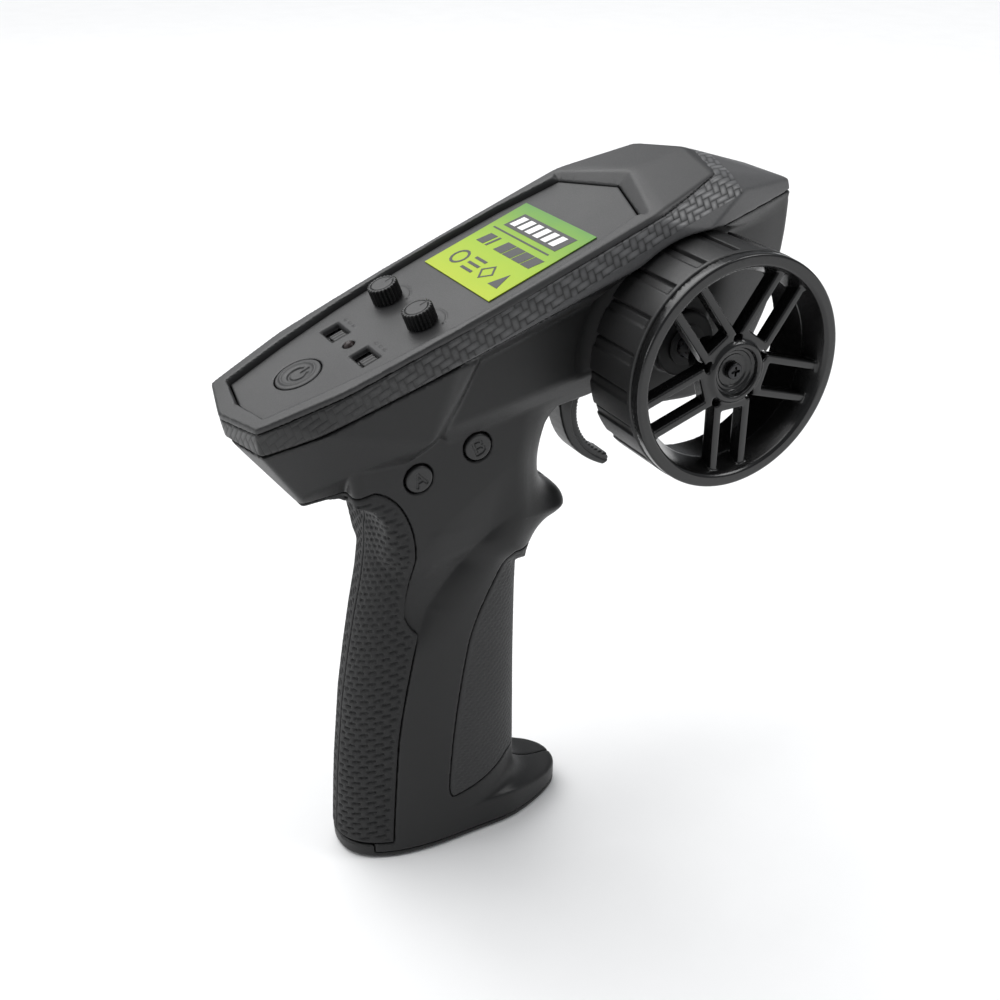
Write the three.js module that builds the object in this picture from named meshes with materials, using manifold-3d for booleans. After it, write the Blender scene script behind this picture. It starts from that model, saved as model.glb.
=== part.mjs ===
// Pistol-grip radio transmitter: casing, hand grip, steering wheel, trigger, deck controls and innards.
// Millimetres, +Z up, +Y the way the transmitter points, +X its steering-wheel side.
// The origin is on the ground under the grip, in the plane where the two casing halves meet.
import * as THREE from 'three';
import { mergeVertices } from 'three/addons/utils/BufferGeometryUtils.js';
import { ConvexGeometry } from 'three/addons/geometries/ConvexGeometry.js';
import Module from 'manifold-3d';

const wasm = await Module();
wasm.setup();

// ---------------------------------------------------------------- driving dimensions
const WALL = 2.4;                 // casing wall
const GAP = 0.3;                  // clearance round fitted and moving pieces
const SEAM = 0.06;                // half of the parting line between the casing halves
const SPLIT = 0.12;               // parting gap between casing, frame and cover

const DECK_PITCH = THREE.MathUtils.degToRad(20.4);
const DECK_HEIGHT = 167.3;        // the deck plane over the origin
const RIM_TOP = 0.8;              // heights below are measured square to the deck
const COVER_UNDERSIDE = -0.9;
const PANEL_TOP = -0.9;
const PANEL_UNDERSIDE = -2.7;
const BOARD_TOP = -6.6;
const BOARD_THICKNESS = 1.6;

const TRUNK_HALF_WIDTH = 16;
const CORE_HALF_WIDTH = 19;

const WHEEL = { y: 57.4, z: 146, radius: 31, face: 44.6, back: 22.8 };
const WHEEL_PAIRS = 5;            // pairs of spokes
const TREAD_BLOCKS = 20;
const SHAFT_RADIUS = 3;

const TRIGGER = { y: 33.5, z: 140, halfWidth: 4.4, hub: 5, pin: 1.8 };

const POWER_BUTTON = { s: -46.5, radius: 6.05 };
const LAMP = { s: -31.9, radius: 1.45 };
const REVERSE_SWITCH = { x: 9.2, s: -31.6, length: 7.6, width: 4.7, travel: 3 };
const TRIM_KNOB = { x: 10, s: -15.2, radius: 4.1, top: 3.9, teeth: 24 };
const LABEL = { halfWidth: 17.4, rear: 0, front: 32.5, thickness: 0.25 };

const SIDE_BUTTON = { radius: 3.7, places: [['a', -19.1, 122.7], ['b', -2.3, 127.8]] };

const CELL = { radius: 5.2, length: 44.5, pitch: 10.6, bottom: 5.4, centreY: -11.6 };
const CASING_SCREWS = [[-38, 129], [6, 131], [83, 158], [-6, 98], [-15, 61], [8, 10]];

// ---------------------------------------------------------------- solids
function solid(geometry) {
  const bare = geometry.clone();
  for (const name of Object.keys(bare.attributes)) {
    if (name !== 'position') bare.deleteAttribute(name);
  }
  const merged = mergeVertices(bare, 1e-4);
  const corners = merged.index.array;
  const kept = [];
  for (let i = 0; i < corners.length; i += 3) {
    const [a, b, c] = corners.slice(i, i + 3);
    if (a !== b && b !== c && c !== a) kept.push(a, b, c);
  }
  const vertProperties = new Float32Array(merged.attributes.position.array);
  return new wasm.Manifold(new wasm.Mesh({ numProp: 3, vertProperties, triVerts: new Uint32Array(kept) }));
}

function geometryOf(body) {
  const mesh = body.getMesh();
  const geometry = new THREE.BufferGeometry();
  geometry.setAttribute('position', new THREE.BufferAttribute(mesh.vertProperties, 3));
  geometry.setIndex(new THREE.BufferAttribute(mesh.triVerts, 1));
  return geometry;
}

const join = (first, ...others) => others.reduce((sum, other) => sum.add(other), first);
const cut = (first, ...others) => others.reduce((rest, other) => rest.subtract(other), first);
const shifted = (body, x, y, z) => solid(geometryOf(body).translate(x, y, z));

function box(x0, x1, y0, y1, z0, z1) {
  const geometry = new THREE.BoxGeometry(x1 - x0, y1 - y0, z1 - z0);
  return solid(geometry.translate((x0 + x1) / 2, (y0 + y1) / 2, (z0 + z1) / 2));
}

// A round bar along X.
function barX(radius, x0, x1, y, z, sides = 24) {
  const geometry = new THREE.CylinderGeometry(radius, radius, x1 - x0, sides);
  return solid(geometry.rotateZ(-Math.PI / 2).translate((x0 + x1) / 2, y, z));
}

// A round bar along the third axis of a frame.
function barZ(radius, x, y, z0, z1, sides = 24) {
  const geometry = new THREE.CylinderGeometry(radius, radius, z1 - z0, sides);
  return solid(geometry.rotateX(Math.PI / 2).translate(x, y, (z0 + z1) / 2));
}

// A turned piece round the X axis through (y, z), from [radius, x] points that close on themselves.
function turnedX(profile, y, z, sides = 48) {
  const points = profile.map(([radius, x]) => new THREE.Vector2(radius, x));
  points.push(points[0].clone());
  const body = solid(new THREE.LatheGeometry(points, sides).rotateZ(-Math.PI / 2).translate(0, y, z));
  return body.volume() > 0 ? body : solid(flipped(geometryOf(body)));
}

function flipped(geometry) {
  const order = geometry.index.array;
  for (let i = 0; i < order.length; i += 3) [order[i], order[i + 1]] = [order[i + 1], order[i]];
  return geometry;
}

// A side view of [y, z] points, or a Shape drawn in (y, z), given its thickness along X.
function sideSlab(outline, x0, x1, bevel = 0, curveSegments = 4) {
  const shape = outline instanceof THREE.Shape ? outline : polygon(outline);
  const settings = { depth: x1 - x0 - 2 * bevel, bevelEnabled: bevel > 0, curveSegments };
  Object.assign(settings, { bevelThickness: bevel, bevelSize: bevel, bevelOffset: -bevel, bevelSegments: 2 });
  const geometry = new THREE.ExtrudeGeometry(shape, settings);
  const toSideView = new THREE.Matrix4().set(0, 0, 1, x0 + bevel, 1, 0, 0, 0, 0, 1, 0, 0, 0, 0, 0, 1);
  return solid(geometry.applyMatrix4(toSideView));
}

const polygon = (points) => new THREE.Shape(points.map(([a, b]) => new THREE.Vector2(a, b)));

const onDeck = new THREE.Matrix4().makeRotationX(DECK_PITCH).setPosition(0, 0, DECK_HEIGHT);
const deck = (x, s, h) => new THREE.Vector3(x, s, h).applyMatrix4(onDeck);
const toWorld = (body) => solid(geometryOf(body).applyMatrix4(onDeck));

// A plan view of [x, s] points in the deck's frame, from height h0 to h1.
function plate(outline, h0, h1) {
  const geometry = new THREE.ExtrudeGeometry(polygon(outline), { depth: h1 - h0, bevelEnabled: false });
  return solid(geometry.translate(0, 0, h0));
}

// The region above or below a line of [s, h] points in the deck's frame.
function deckRegion(line, far) {
  const points = [...line, [line.at(-1)[0], far], [line[0][0], far]];
  return sideSlab(points.map(([s, h]) => deck(0, s, h)).map((p) => [p.y, p.z]), -60, 60);
}

const mirrored = (points) => points.flatMap((p) => [p, new THREE.Vector3(-p.x, p.y, p.z)]);
const hull = (points) => solid(new ConvexGeometry(points));
const at = (x, y, z) => new THREE.Vector3(x, y, z);

// A closed skin through rings that hold the same number of points, each ring a level outline.
function loft(rings) {
  const count = rings[0].length;
  const positions = rings.flat().flatMap((p) => [p.x, p.y, p.z]);
  const faces = [];
  for (let level = 0; level + 1 < rings.length; level++) {
    for (let i = 0; i < count; i++) {
      const a = level * count + i;
      const b = level * count + ((i + 1) % count);
      faces.push(a, b, b + count, a, b + count, a + count);
    }
  }
  for (const [level, turn] of [[0, -1], [rings.length - 1, 1]]) {
    for (let i = 1; i + 1 < count; i++) {
      const corner = level * count;
      faces.push(corner, corner + (turn > 0 ? i : i + 1), corner + (turn > 0 ? i + 1 : i));
    }
  }
  const geometry = new THREE.BufferGeometry();
  geometry.setAttribute('position', new THREE.Float32BufferAttribute(positions, 3));
  geometry.setIndex(faces);
  return solid(geometry);
}

// What is left of a body when a wall is taken off each of its sides.
function core(body, wall) {
  let inside = body;
  for (const step of [[wall, 0, 0], [0, wall, 0], [0, 0, wall]]) {
    inside = inside.intersect(shifted(body, ...step));
    inside = inside.intersect(shifted(body, ...step.map((d) => -d)));
  }
  return inside;
}

// ---------------------------------------------------------------- outer form
// Grip sections from the foot up: height, rear edge, front edge, half width.
const GRIP_LEVELS = [
  [0, -40.8, 29.8, 14.9],
  [1.2, -41.5, 30.6, 15.7],
  [6.6, -41.8, 30.2, 15.8],
  [7.8, -41.8, 28.6, 15.8],
  [9.2, -41.7, 22.5, 15.8],
  [11.5, -41.6, 18.0, 15.8],
  [15.5, -41.3, 15.6, 15.8],
  [20, -40.9, 14.9, 15.8],
  [30, -40.0, 14.9, 15.8],
  [52, -37.4, 14.9, 15.9],
  [66, -34.9, 15.1, 15.9],
  [78, -32.4, 15.3, 16],
  [88, -30.0, 15.8, 16],
  [98, -28.4, 17.5, 16],
  [108, -27.8, 17.5, 16],
];
const GRIP_MIDDLE = -11;          // where the grip is widest
const GRIP_SQUARENESS = 2.35;     // 2 is an ellipse, more is squarer

function gripRing([height, rear, front, halfWidth], sides) {
  const ring = [];
  for (let i = 0; i < sides; i++) {
    const turn = (i / sides) * 2 * Math.PI;
    const across = Math.sign(Math.cos(turn)) * Math.abs(Math.cos(turn)) ** (2 / GRIP_SQUARENESS);
    const along = Math.sign(Math.sin(turn)) * Math.abs(Math.sin(turn)) ** (2 / GRIP_SQUARENESS);
    const reach = along > 0 ? front - GRIP_MIDDLE : GRIP_MIDDLE - rear;
    ring.push(at(halfWidth * across, GRIP_MIDDLE + reach * along, height));
  }
  return ring;
}

// The upright part between grip and head, with the finger notch and the rest below the trigger.
function trunkOutline() {
  const shape = new THREE.Shape();
  shape.moveTo(-22, 86);
  shape.lineTo(-27.6, 98);
  shape.lineTo(-27.8, 107);
  shape.quadraticCurveTo(-28.4, 115, -36, 117.5);
  shape.lineTo(-40, 140);
  shape.lineTo(40, 160);
  shape.lineTo(40, 133);
  shape.quadraticCurveTo(28, 126, 23.5, 118);
  shape.quadraticCurveTo(19, 108, 25.5, 103.5);
  shape.quadraticCurveTo(31.5, 102, 30.8, 98.6);
  shape.quadraticCurveTo(30, 95.8, 24, 94.6);
  shape.quadraticCurveTo(18.6, 92.4, 17, 86);
  return shape;
}

// The slab under the deck: rim, hood, textured band and the narrow ledge below it.
function upperSlab() {
  const top = [
    deck(0, -68.2, RIM_TOP), deck(15.9, -64.1, RIM_TOP), deck(21.9, -41.5, RIM_TOP),
    deck(23.8, -12, RIM_TOP), deck(24.3, 12, RIM_TOP), deck(24.3, 47, RIM_TOP),
    deck(17.9, 68.7, -1.25), deck(0, 72.6, -0.1), deck(0, 54.6, 1.9),
  ];
  const bandFoot = [
    deck(0, -69.2, -6.6), deck(14.6, -66, -6.9), deck(20.8, -51.5, -7.1), deck(24.7, -16, -7.6),
    deck(26.2, 20, -7), deck(27.1, 51, -5.4), deck(22, 74.1, -8.1),
  ];
  const ledge = [deck(24.9, -2, -8.4), deck(27.3, 32, -8.1), deck(27.6, 58, -9.9)];
  const nose = [at(10.4, 96.4, 182.8), at(10.8, 97.2, 178.6)];
  const underside = [deck(12, -62, -10), deck(18, -20, -13), at(18.5, 58, 172), at(10, 92, 172)];
  return hull(mirrored([...top, ...bandFoot, ...ledge, ...nose, ...underside]));
}

// The rear flanks, which narrow down to the beak over the web of the hand.
function rearFlanks() {
  return hull(mirrored([
    deck(0, -68.6, -7.2), deck(14.5, -65.8, -7.4), deck(20.7, -51.5, -7.6), deck(24.5, -16, -8.2),
    at(22.9, -5.5, 154.4), at(22, -17.9, 134.9), at(16.4, -33.8, 128.4), at(10, -48.6, 121.6),
    at(6.5, -46.9, 117.2), at(8, -30, 118), at(18.6, -11.5, 136.4), at(18.6, 0, 157), at(12, -14, 128),
  ]));
}

// The middle of the head behind the wheel, and the body that carries the steering gear.
function headCore() {
  const side = CORE_HALF_WIDTH;
  const middle = hull(mirrored([
    at(side, -14, 135.2), at(side, -6, 158), at(side, 28, 142.6), at(side, 62, 176),
    at(side, 66, 150), at(15, -10, 129), at(14, 34, 134),
  ]));
  const nose = hull(mirrored([
    at(14, 37, 131), at(14, 46, 127), at(12.5, 69, 124.6), at(11.8, 84, 130), at(10.6, 94, 147),
    at(10.6, 97.6, 165), at(10.7, 97.6, 178.4), at(side, 34, 142.6), at(side, 66, 148),
    at(side, 66, 174), at(15.5, 84, 176), at(side, 34, 168),
  ]));
  return join(middle, nose);
}

// The whole outside as one body; the plain version, with fewer facets, is only used to hollow it.
function outerForm(sides, bevel, curveSegments) {
  const grip = loft(GRIP_LEVELS.map((level) => gripRing(level, sides)));
  const trunk = sideSlab(trunkOutline(), -TRUNK_HALF_WIDTH, TRUNK_HALF_WIDTH, bevel, curveSegments);
  const form = join(grip, trunk, upperSlab(), rearFlanks(), headCore());
  return cut(form, wheelRoom(0));
}

// The round space that the wheel turns in, with an optional wall kept behind and round it.
function wheelRoom(wall) {
  return barX(WHEEL.radius + 1.3 + wall, CORE_HALF_WIDTH - 0.2 - wall, 60, WHEEL.y, WHEEL.z, 48);
}

// ---------------------------------------------------------------- parting lines
// Under the cover: level with the deck, dipping where the hood falls away to the nose.
const COVER_LINE = [[-90, COVER_UNDERSIDE], [47, COVER_UNDERSIDE], [76, -2.3], [120, -3]];
// Between the frame and the casing: along the band's foot, then along the ledge to the nose.
const CASING_LINE = [[-90, -7.5], [8, -8.2], [32, -8.9], [58, -10.8], [96, -22.4], [130, -30]];
const lowered = (line, by) => line.map(([s, h]) => [s, h - by]);

const PANEL_OUTLINE = [
  [0, -62.7], [12.8, -60.5], [16.8, -44], [19.6, -27], [21.4, -8], [22, 8], [21.6, 26], [19.5, 44.3],
  [0, 51.1], [-19.5, 44.3], [-21.6, 26], [-22, 8], [-21.4, -8], [-19.6, -27], [-16.8, -44], [-12.8, -60.5],
];
// The outline moved outwards by a margin, scaled about the middle of the panel.
function panelOutline(margin) {
  const middle = -6;
  return PANEL_OUTLINE.map(([x, s]) => [x * (1 + margin / 20), middle + (s - middle) * (1 + margin / 57)]);
}

// Side views of the textured grip pads.
const REAR_PAD = [
  [-70, 5.6], [-29.4, 5.6], [-29.2, 10.3], [-26.9, 39.1], [-23.3, 61.4], [-20.1, 75.4], [-23.3, 80.9],
  [-22.3, 89.6], [-20.5, 99.5], [-21.3, 109.6], [-25.2, 117.8], [-31.3, 121.4], [-46, 119], [-70, 117],
];
const FRONT_PAD = [
  [40, 92.7], [9.8, 92.7], [-0.2, 81.6], [-4.1, 73.1], [-7.7, 54.6], [-10.8, 38], [-12.3, 20.4],
  [-11.2, 16.6], [-2.3, 17.8], [8.5, 23], [40, 23],
];
const PAD_DEPTH = 1.2;

// ---------------------------------------------------------------- casing pieces
const form = outerForm(24, 2.6, 3);
const plainForm = outerForm(12, 0, 2);
const cavity = cut(core(plainForm, WALL), wheelRoom(WALL));
const padBack = core(plainForm, PAD_DEPTH);
const padBed = core(plainForm, PAD_DEPTH + GAP);

const aboveCoverLine = deckRegion(COVER_LINE, 60);
const aboveCasingLine = deckRegion(CASING_LINE, 60);
const belowCasingLine = deckRegion(lowered(CASING_LINE, SPLIT), -260);
const belowCoverLine = deckRegion(lowered(COVER_LINE, SPLIT), -260);

const rearPadRegion = sideSlab(REAR_PAD, -40, 40);
const frontPadRegion = sideSlab(FRONT_PAD, -40, 40);

function topCover() {
  const opening = toWorld(plate(panelOutline(0.35), -10, 10));
  const slope = hull([
    ...panelOutline(0.35).filter(([, s]) => s > 40).map(([x, s]) => deck(x, s, PANEL_TOP)),
    ...panelOutline(0.35).filter(([, s]) => s > 40).map(([x, s]) => deck(x * 1.02, s + 4.2, 3)),
    ...[[19.9, 30], [-19.9, 30]].flatMap(([x, s]) => [deck(x, s, PANEL_TOP), deck(x, s, 3)]),
  ]);
  return cut(form.intersect(aboveCoverLine), opening, slope);
}

function bandFrame() {
  const ring = cut(form, cavity).intersect(aboveCasingLine).intersect(belowCoverLine);
  const rebate = toWorld(plate(panelOutline(GAP), PANEL_UNDERSIDE - SPLIT, 10));
  return cut(ring, rebate);
}

function controlPanel() {
  let panel = plate(panelOutline(0), PANEL_UNDERSIDE, PANEL_TOP);
  panel = cut(panel, barZ(POWER_BUTTON.radius + GAP, 0, POWER_BUTTON.s, -5, 5, 32));
  panel = cut(panel, barZ(LAMP.radius + 0.15, 0, LAMP.s, -5, 5, 20));
  for (const side of [-1, 1]) {
    const { x, s, length, width } = REVERSE_SWITCH;
    const middle = side * x;
    const window = box(middle - length / 2, middle + length / 2, s - width / 2, s + width / 2, -5, 5);
    panel = cut(panel, window);
    panel = cut(panel, barZ(2.6, side * TRIM_KNOB.x, TRIM_KNOB.s, -5, 5, 20));
  }
  return panel;
}

// Screw posts reach from each side wall to the parting plane.
function screwPosts(side) {
  const posts = CASING_SCREWS.map(([y, z]) => (side > 0 ? barX(3.1, SEAM, 30, y, z, 10)
    : barX(4, -30, -SEAM, y, z, 12)));
  return join(...posts).intersect(form);
}

function screwHoles(side) {
  const holes = CASING_SCREWS.map(([y, z]) => (side > 0 ? barX(1.4, -1, 9.4, y, z, 8)
    : join(barX(1.4, -20, 1, y, z, 8), barX(2.9, -40, -9, y, z, 12))));
  return join(...holes);
}

// Walls inside the casing that carry the steering shaft, the trigger pin and the boards.
function bearingPosts(side) {
  const pinPost = side > 0 ? barX(4.2, 6.2, 30, TRIGGER.y, TRIGGER.z, 12)
    : barX(4.2, -8.4, -6.2, TRIGGER.y, TRIGGER.z, 12);
  if (side < 0) return join(pinPost, box(-8.4, -6.6, TRIGGER.y - 3, TRIGGER.y + 3, TRIGGER.z, 160),
    box(-19, -6.6, TRIGGER.y - 3, TRIGGER.y + 3, 152, 154)).intersect(form);
  return join(pinPost.intersect(form), barX(9, 12, 21.4, WHEEL.y, WHEEL.z, 32));
}

const cellRoom = box(-12.3, 12.3, CELL.centreY - 12.4, CELL.centreY + 12.4, -5, 53.6);
const triggerSlot = sideSlab(
  [[24, 119], [23.4, 128], [24, 147], [42, 147], [45, 133], [44, 122], [38, 118]], -5, 5);
const batteryCoverRoom = join(box(-40, 40, -60, 60, -5, 2.6), box(-40, 40, -60, -34.4, -5, 5.2));

function casingHalf(side) {
  const half = side > 0 ? box(SEAM, 60, -120, 160, -10, 230) : box(-60, -SEAM, -120, 160, -10, 230);
  let shell = cut(form, cavity).intersect(belowCasingLine).intersect(half);
  shell = join(shell, screwPosts(side).intersect(belowCasingLine), bearingPosts(side));
  shell = cut(shell, cut(rearPadRegion, padBed), cut(frontPadRegion, padBed));
  shell = cut(shell, cellRoom, triggerSlot, batteryCoverRoom, screwHoles(side));
  shell = cut(shell, barX(TRIGGER.pin + GAP, -12, 12, TRIGGER.y, TRIGGER.z, 12));
  if (side > 0) {
    shell = cut(shell, barX(4.6, 10, 30, WHEEL.y, WHEEL.z, 32));
    for (const [, y, z] of SIDE_BUTTON.places) {
      shell = cut(shell, barX(SIDE_BUTTON.radius + GAP, 10, 30, y, z, 24));
    }
  }
  return shell;
}

// Each casing half carries its own half of a pad.
function pad(region, side) {
  const half = side > 0 ? box(SPLIT, 60, -120, 160, -10, 230) : box(-60, -SPLIT, -120, 160, -10, 230);
  return cut(form.intersect(core(region, GAP)), padBack).intersect(half);
}

function batteryCover() {
  const base = form.intersect(join(box(-40, 40, -60, 60, -5, 2.1), box(-40, 40, -60, -34.7, -5, 5)));
  const well = box(-9, 9, -30, 8, 1.4, 8);
  return cut(base, well);
}

// ---------------------------------------------------------------- materials
const finish = (color, roughness, metalness = 0) => ({ color, roughness, metalness });
const CHARCOAL = finish(0x3c3d3f, 0.55);
const SATIN_BLACK = finish(0x161617, 0.42);
const WEAVE_BLACK = finish(0x2b2c2e, 0.4);
const GLOSS_BLACK = finish(0x0d0d0e, 0.22);
const SOFT_BLACK = finish(0x1a1a1b, 0.8);
const LABEL_GREEN = finish(0x9ccb3b, 0.45);
const STEEL = finish(0xb4b6b8, 0.3, 1);
const BRASS = finish(0xb08d4a, 0.35, 1);
const BOARD_GREEN = finish(0x1d5b34, 0.5);
const LAMP_RED = finish(0x4a0f0c, 0.2);
const WHITE_NYLON = finish(0xd8d8d2, 0.6);
const CELL_WRAP = finish(0x355f93, 0.35, 0.3);

const LEFT_RIGHT = [['left', -1], ['right', 1]];
const transmitter = new THREE.Group();
const deckGroup = new THREE.Group();
deckGroup.position.set(0, 0, DECK_HEIGHT);
deckGroup.rotation.x = DECK_PITCH;
transmitter.add(deckGroup);

// Joins and cuts leave corners a hair apart: they are brought onto a fine grid and merged.
const GRID = 0.002;
function tidied(body) {
  const geometry = geometryOf(body);
  const places = geometry.attributes.position.array;
  for (let i = 0; i < places.length; i++) places[i] = Math.round(places[i] / GRID) * GRID;
  return geometryOf(solid(geometry));
}

function add(group, name, body, look) {
  const mesh = new THREE.Mesh(tidied(body), new THREE.MeshStandardMaterial(look));
  mesh.name = name;
  group.add(mesh);
  return mesh;
}

// ---------------------------------------------------------------- casing
add(transmitter, 'right_casing', casingHalf(1), SATIN_BLACK);
add(transmitter, 'left_casing', casingHalf(-1), SATIN_BLACK);
add(transmitter, 'band_frame', bandFrame(), WEAVE_BLACK);
add(transmitter, 'top_cover', topCover(), CHARCOAL);
for (const [name, side] of LEFT_RIGHT) {
  add(transmitter, `rear_grip_pad_${name}`, pad(rearPadRegion, side), SOFT_BLACK);
  add(transmitter, `front_grip_pad_${name}`, pad(frontPadRegion, side), SOFT_BLACK);
}
add(transmitter, 'battery_cover', batteryCover(), SATIN_BLACK);

// ---------------------------------------------------------------- deck controls
function ratingLabel() {
  const { halfWidth: w, rear, front, thickness } = LABEL;
  return plate([[-w, rear], [w, rear], [w, front], [-w, front]], PANEL_TOP + 0.1, PANEL_TOP + 0.1 + thickness);
}

function powerButton() {
  const { s, radius } = POWER_BUTTON;
  const flange = barZ(radius + 1.2, 0, s, PANEL_UNDERSIDE - 1.1, PANEL_UNDERSIDE - GAP, 32);
  const cap = barZ(radius, 0, s, PANEL_UNDERSIDE - 1.1, PANEL_TOP + 0.45, 32);
  const ring = cut(barZ(4.9, 0, s, PANEL_TOP, PANEL_TOP + 1, 32),
    barZ(4.2, 0, s, PANEL_TOP - 1, PANEL_TOP + 2, 32));
  return join(flange, cap, ring);
}

// A small push switch that stands on the board; its plunger meets the piece above it.
function pushSwitch(x, s, plungerTop) {
  const housing = box(x - 3, x + 3, s - 3, s + 3, BOARD_TOP + 0.1, BOARD_TOP + 1.3);
  return join(housing, barZ(1.6, x, s, BOARD_TOP + 1, plungerTop, 16));
}

function statusLamp() {
  const lens = barZ(LAMP.radius, 0, LAMP.s, BOARD_TOP + 0.1, PANEL_TOP - 0.6, 20);
  const collar = barZ(1.9, 0, LAMP.s, BOARD_TOP + 0.1, BOARD_TOP + 1.2, 20);
  const dome = new THREE.SphereGeometry(LAMP.radius, 20, 10).rotateX(Math.PI / 2);
  return join(lens, collar, solid(dome.translate(0, LAMP.s, PANEL_TOP - 0.6)));
}

function slideSwitchBody(x) {
  const { s } = REVERSE_SWITCH;
  const housing = box(x - 4.6, x + 4.6, s - 2.9, s + 2.9, BOARD_TOP + 0.1, PANEL_UNDERSIDE - 0.5);
  return cut(housing, box(x - 3, x + 3, s - 1.2, s + 1.2, PANEL_UNDERSIDE - 2.2, 0));
}

// The nub rests at one end of its window.
function slideSwitchNub(middle) {
  const { s, travel } = REVERSE_SWITCH;
  const x = middle + travel / 2;
  const finger = box(x - 1.9, x + 1.9, s - 1.9, s + 1.9, PANEL_UNDERSIDE - 0.2, PANEL_TOP - 0.4);
  const tongue = box(x - 1.3, x + 1.3, s - 0.9, s + 0.9, PANEL_UNDERSIDE - 1.9, PANEL_UNDERSIDE);
  return join(finger, tongue);
}

function trimKnob(x) {
  const { s, radius, top, teeth } = TRIM_KNOB;
  const outline = [];
  for (let i = 0; i < teeth * 2; i++) {
    const turn = (i / (teeth * 2)) * 2 * Math.PI;
    const reach = i % 2 ? radius : radius - 0.35;
    outline.push([x + reach * Math.cos(turn), s + reach * Math.sin(turn)]);
  }
  const cap = plate(outline, PANEL_TOP + GAP, top - 0.4);
  const crown = barZ(radius - 0.5, x, s, top - 0.6, top, 24);
  const stem = barZ(2.2, x, s, PANEL_UNDERSIDE - 0.9, PANEL_TOP + 0.5, 16);
  return cut(join(cap, crown, stem), barZ(1.3, x, s, -10, PANEL_TOP + 1, 12));
}

function trimPot(x) {
  const { s } = TRIM_KNOB;
  const housing = box(x - 4.5, x + 4.5, s - 4.5, s + 4.5, BOARD_TOP + 0.1, PANEL_UNDERSIDE - 1.2);
  return join(housing, barZ(1, x, s, BOARD_TOP + 1, PANEL_TOP, 12));
}

function mainBoard() {
  const outline = [[-10, -54], [10, -54], [16.6, -34], [18.4, 4], [18.4, 30],
    [-18.4, 30], [-18.4, 4], [-16.6, -34]];
  return plate(outline, BOARD_TOP - BOARD_THICKNESS, BOARD_TOP);
}

add(deckGroup, 'control_panel', controlPanel(), CHARCOAL);
add(deckGroup, 'rating_label', ratingLabel(), LABEL_GREEN);
add(deckGroup, 'power_button', powerButton(), CHARCOAL);
add(deckGroup, 'power_switch', pushSwitch(0, POWER_BUTTON.s, PANEL_UNDERSIDE - 2.2), GLOSS_BLACK);
add(deckGroup, 'status_lamp', statusLamp(), LAMP_RED);
add(deckGroup, 'main_board', mainBoard(), BOARD_GREEN);
for (const [name, side] of LEFT_RIGHT) {
  add(deckGroup, `reverse_switch_body_${name}`, slideSwitchBody(side * REVERSE_SWITCH.x), STEEL);
  add(deckGroup, `reverse_switch_nub_${name}`, slideSwitchNub(side * REVERSE_SWITCH.x), GLOSS_BLACK);
  add(deckGroup, `trim_knob_${name}`, trimKnob(side * TRIM_KNOB.x), SATIN_BLACK);
  add(deckGroup, `trim_pot_${name}`, trimPot(side * TRIM_KNOB.x), BRASS);
}

// ---------------------------------------------------------------- steering
function wheelRim() {
  const { y, z, radius, face, back } = WHEEL;
  return turnedX([
    [25, face - 7], [27.6, face - 0.6], [28.2, face], [radius - 0.4, face], [radius, face - 0.4],
    [radius, face - 3], [29.2, face - 3], [29.2, back], [27.8, back], [27.2, face - 9],
  ], y, z, 40);
}

// Hub and spokes, which fit inside the rim's tapered mouth.
function wheelSpider() {
  const { y, z, face } = WHEEL;
  const mouth = turnedX([
    [0, face - 16], [24.6, face - 16], [24.6, face - 7], [27.2, face - 0.6], [0, face - 0.6],
  ], y, z, 40);
  const hub = turnedX([
    [3.3, face - 15], [3.3, face - 5], [1.4, face - 5], [1.4, face - 3.6], [5.4, face - 3.6],
    [5.4, face - 1.8], [6.4, face - 1], [7.6, face - 1], [8.4, face - 2], [8.4, face - 8], [5.4, face - 9],
    [5.4, face - 15],
  ], y, z, 24);
  const spokes = [];
  for (let pair = 0; pair < WHEEL_PAIRS; pair++) {
    const turn = -Math.PI / 2 + (pair * 2 * Math.PI) / WHEEL_PAIRS;
    for (const offset of [-4.5, 4.5]) spokes.push(spoke(turn, offset));
    spokes.push(spokeRoot(turn));
  }
  return join(hub, ...spokes).intersect(mouth);
}

// Moves a shape drawn with its length along +Y from the wheel's centre to its place in the wheel.
function onWheel(geometry, turn) {
  return solid(geometry.rotateX(turn).translate(0, WHEEL.y, WHEEL.z));
}

function spoke(turn, offset) {
  const [root, tip, width, depth] = [8.6, 28, 2.3, 4.4];
  const front = WHEEL.face - 2;
  const geometry = new THREE.BoxGeometry(depth, tip - root, width);
  return onWheel(geometry.translate(front - depth / 2, (root + tip) / 2, offset), turn);
}

// The angled web that ties a pair of spokes to the hub.
function spokeRoot(turn) {
  const front = WHEEL.face - 2;
  const outline = [
    [7, -3], [9.2, -5.65], [11.4, -5.65], [10.4, -3],
    [10.4, 3], [11.4, 5.65], [9.2, 5.65], [7, 3],
  ];
  const geometry = new THREE.ExtrudeGeometry(polygon(outline), { depth: 4.4, bevelEnabled: false });
  const acrossWheel = new THREE.Matrix4().set(0, 0, 1, front - 4.4, 1, 0, 0, 0, 0, 1, 0, 0, 0, 0, 0, 1);
  return onWheel(geometry.applyMatrix4(acrossWheel), turn);
}

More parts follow.
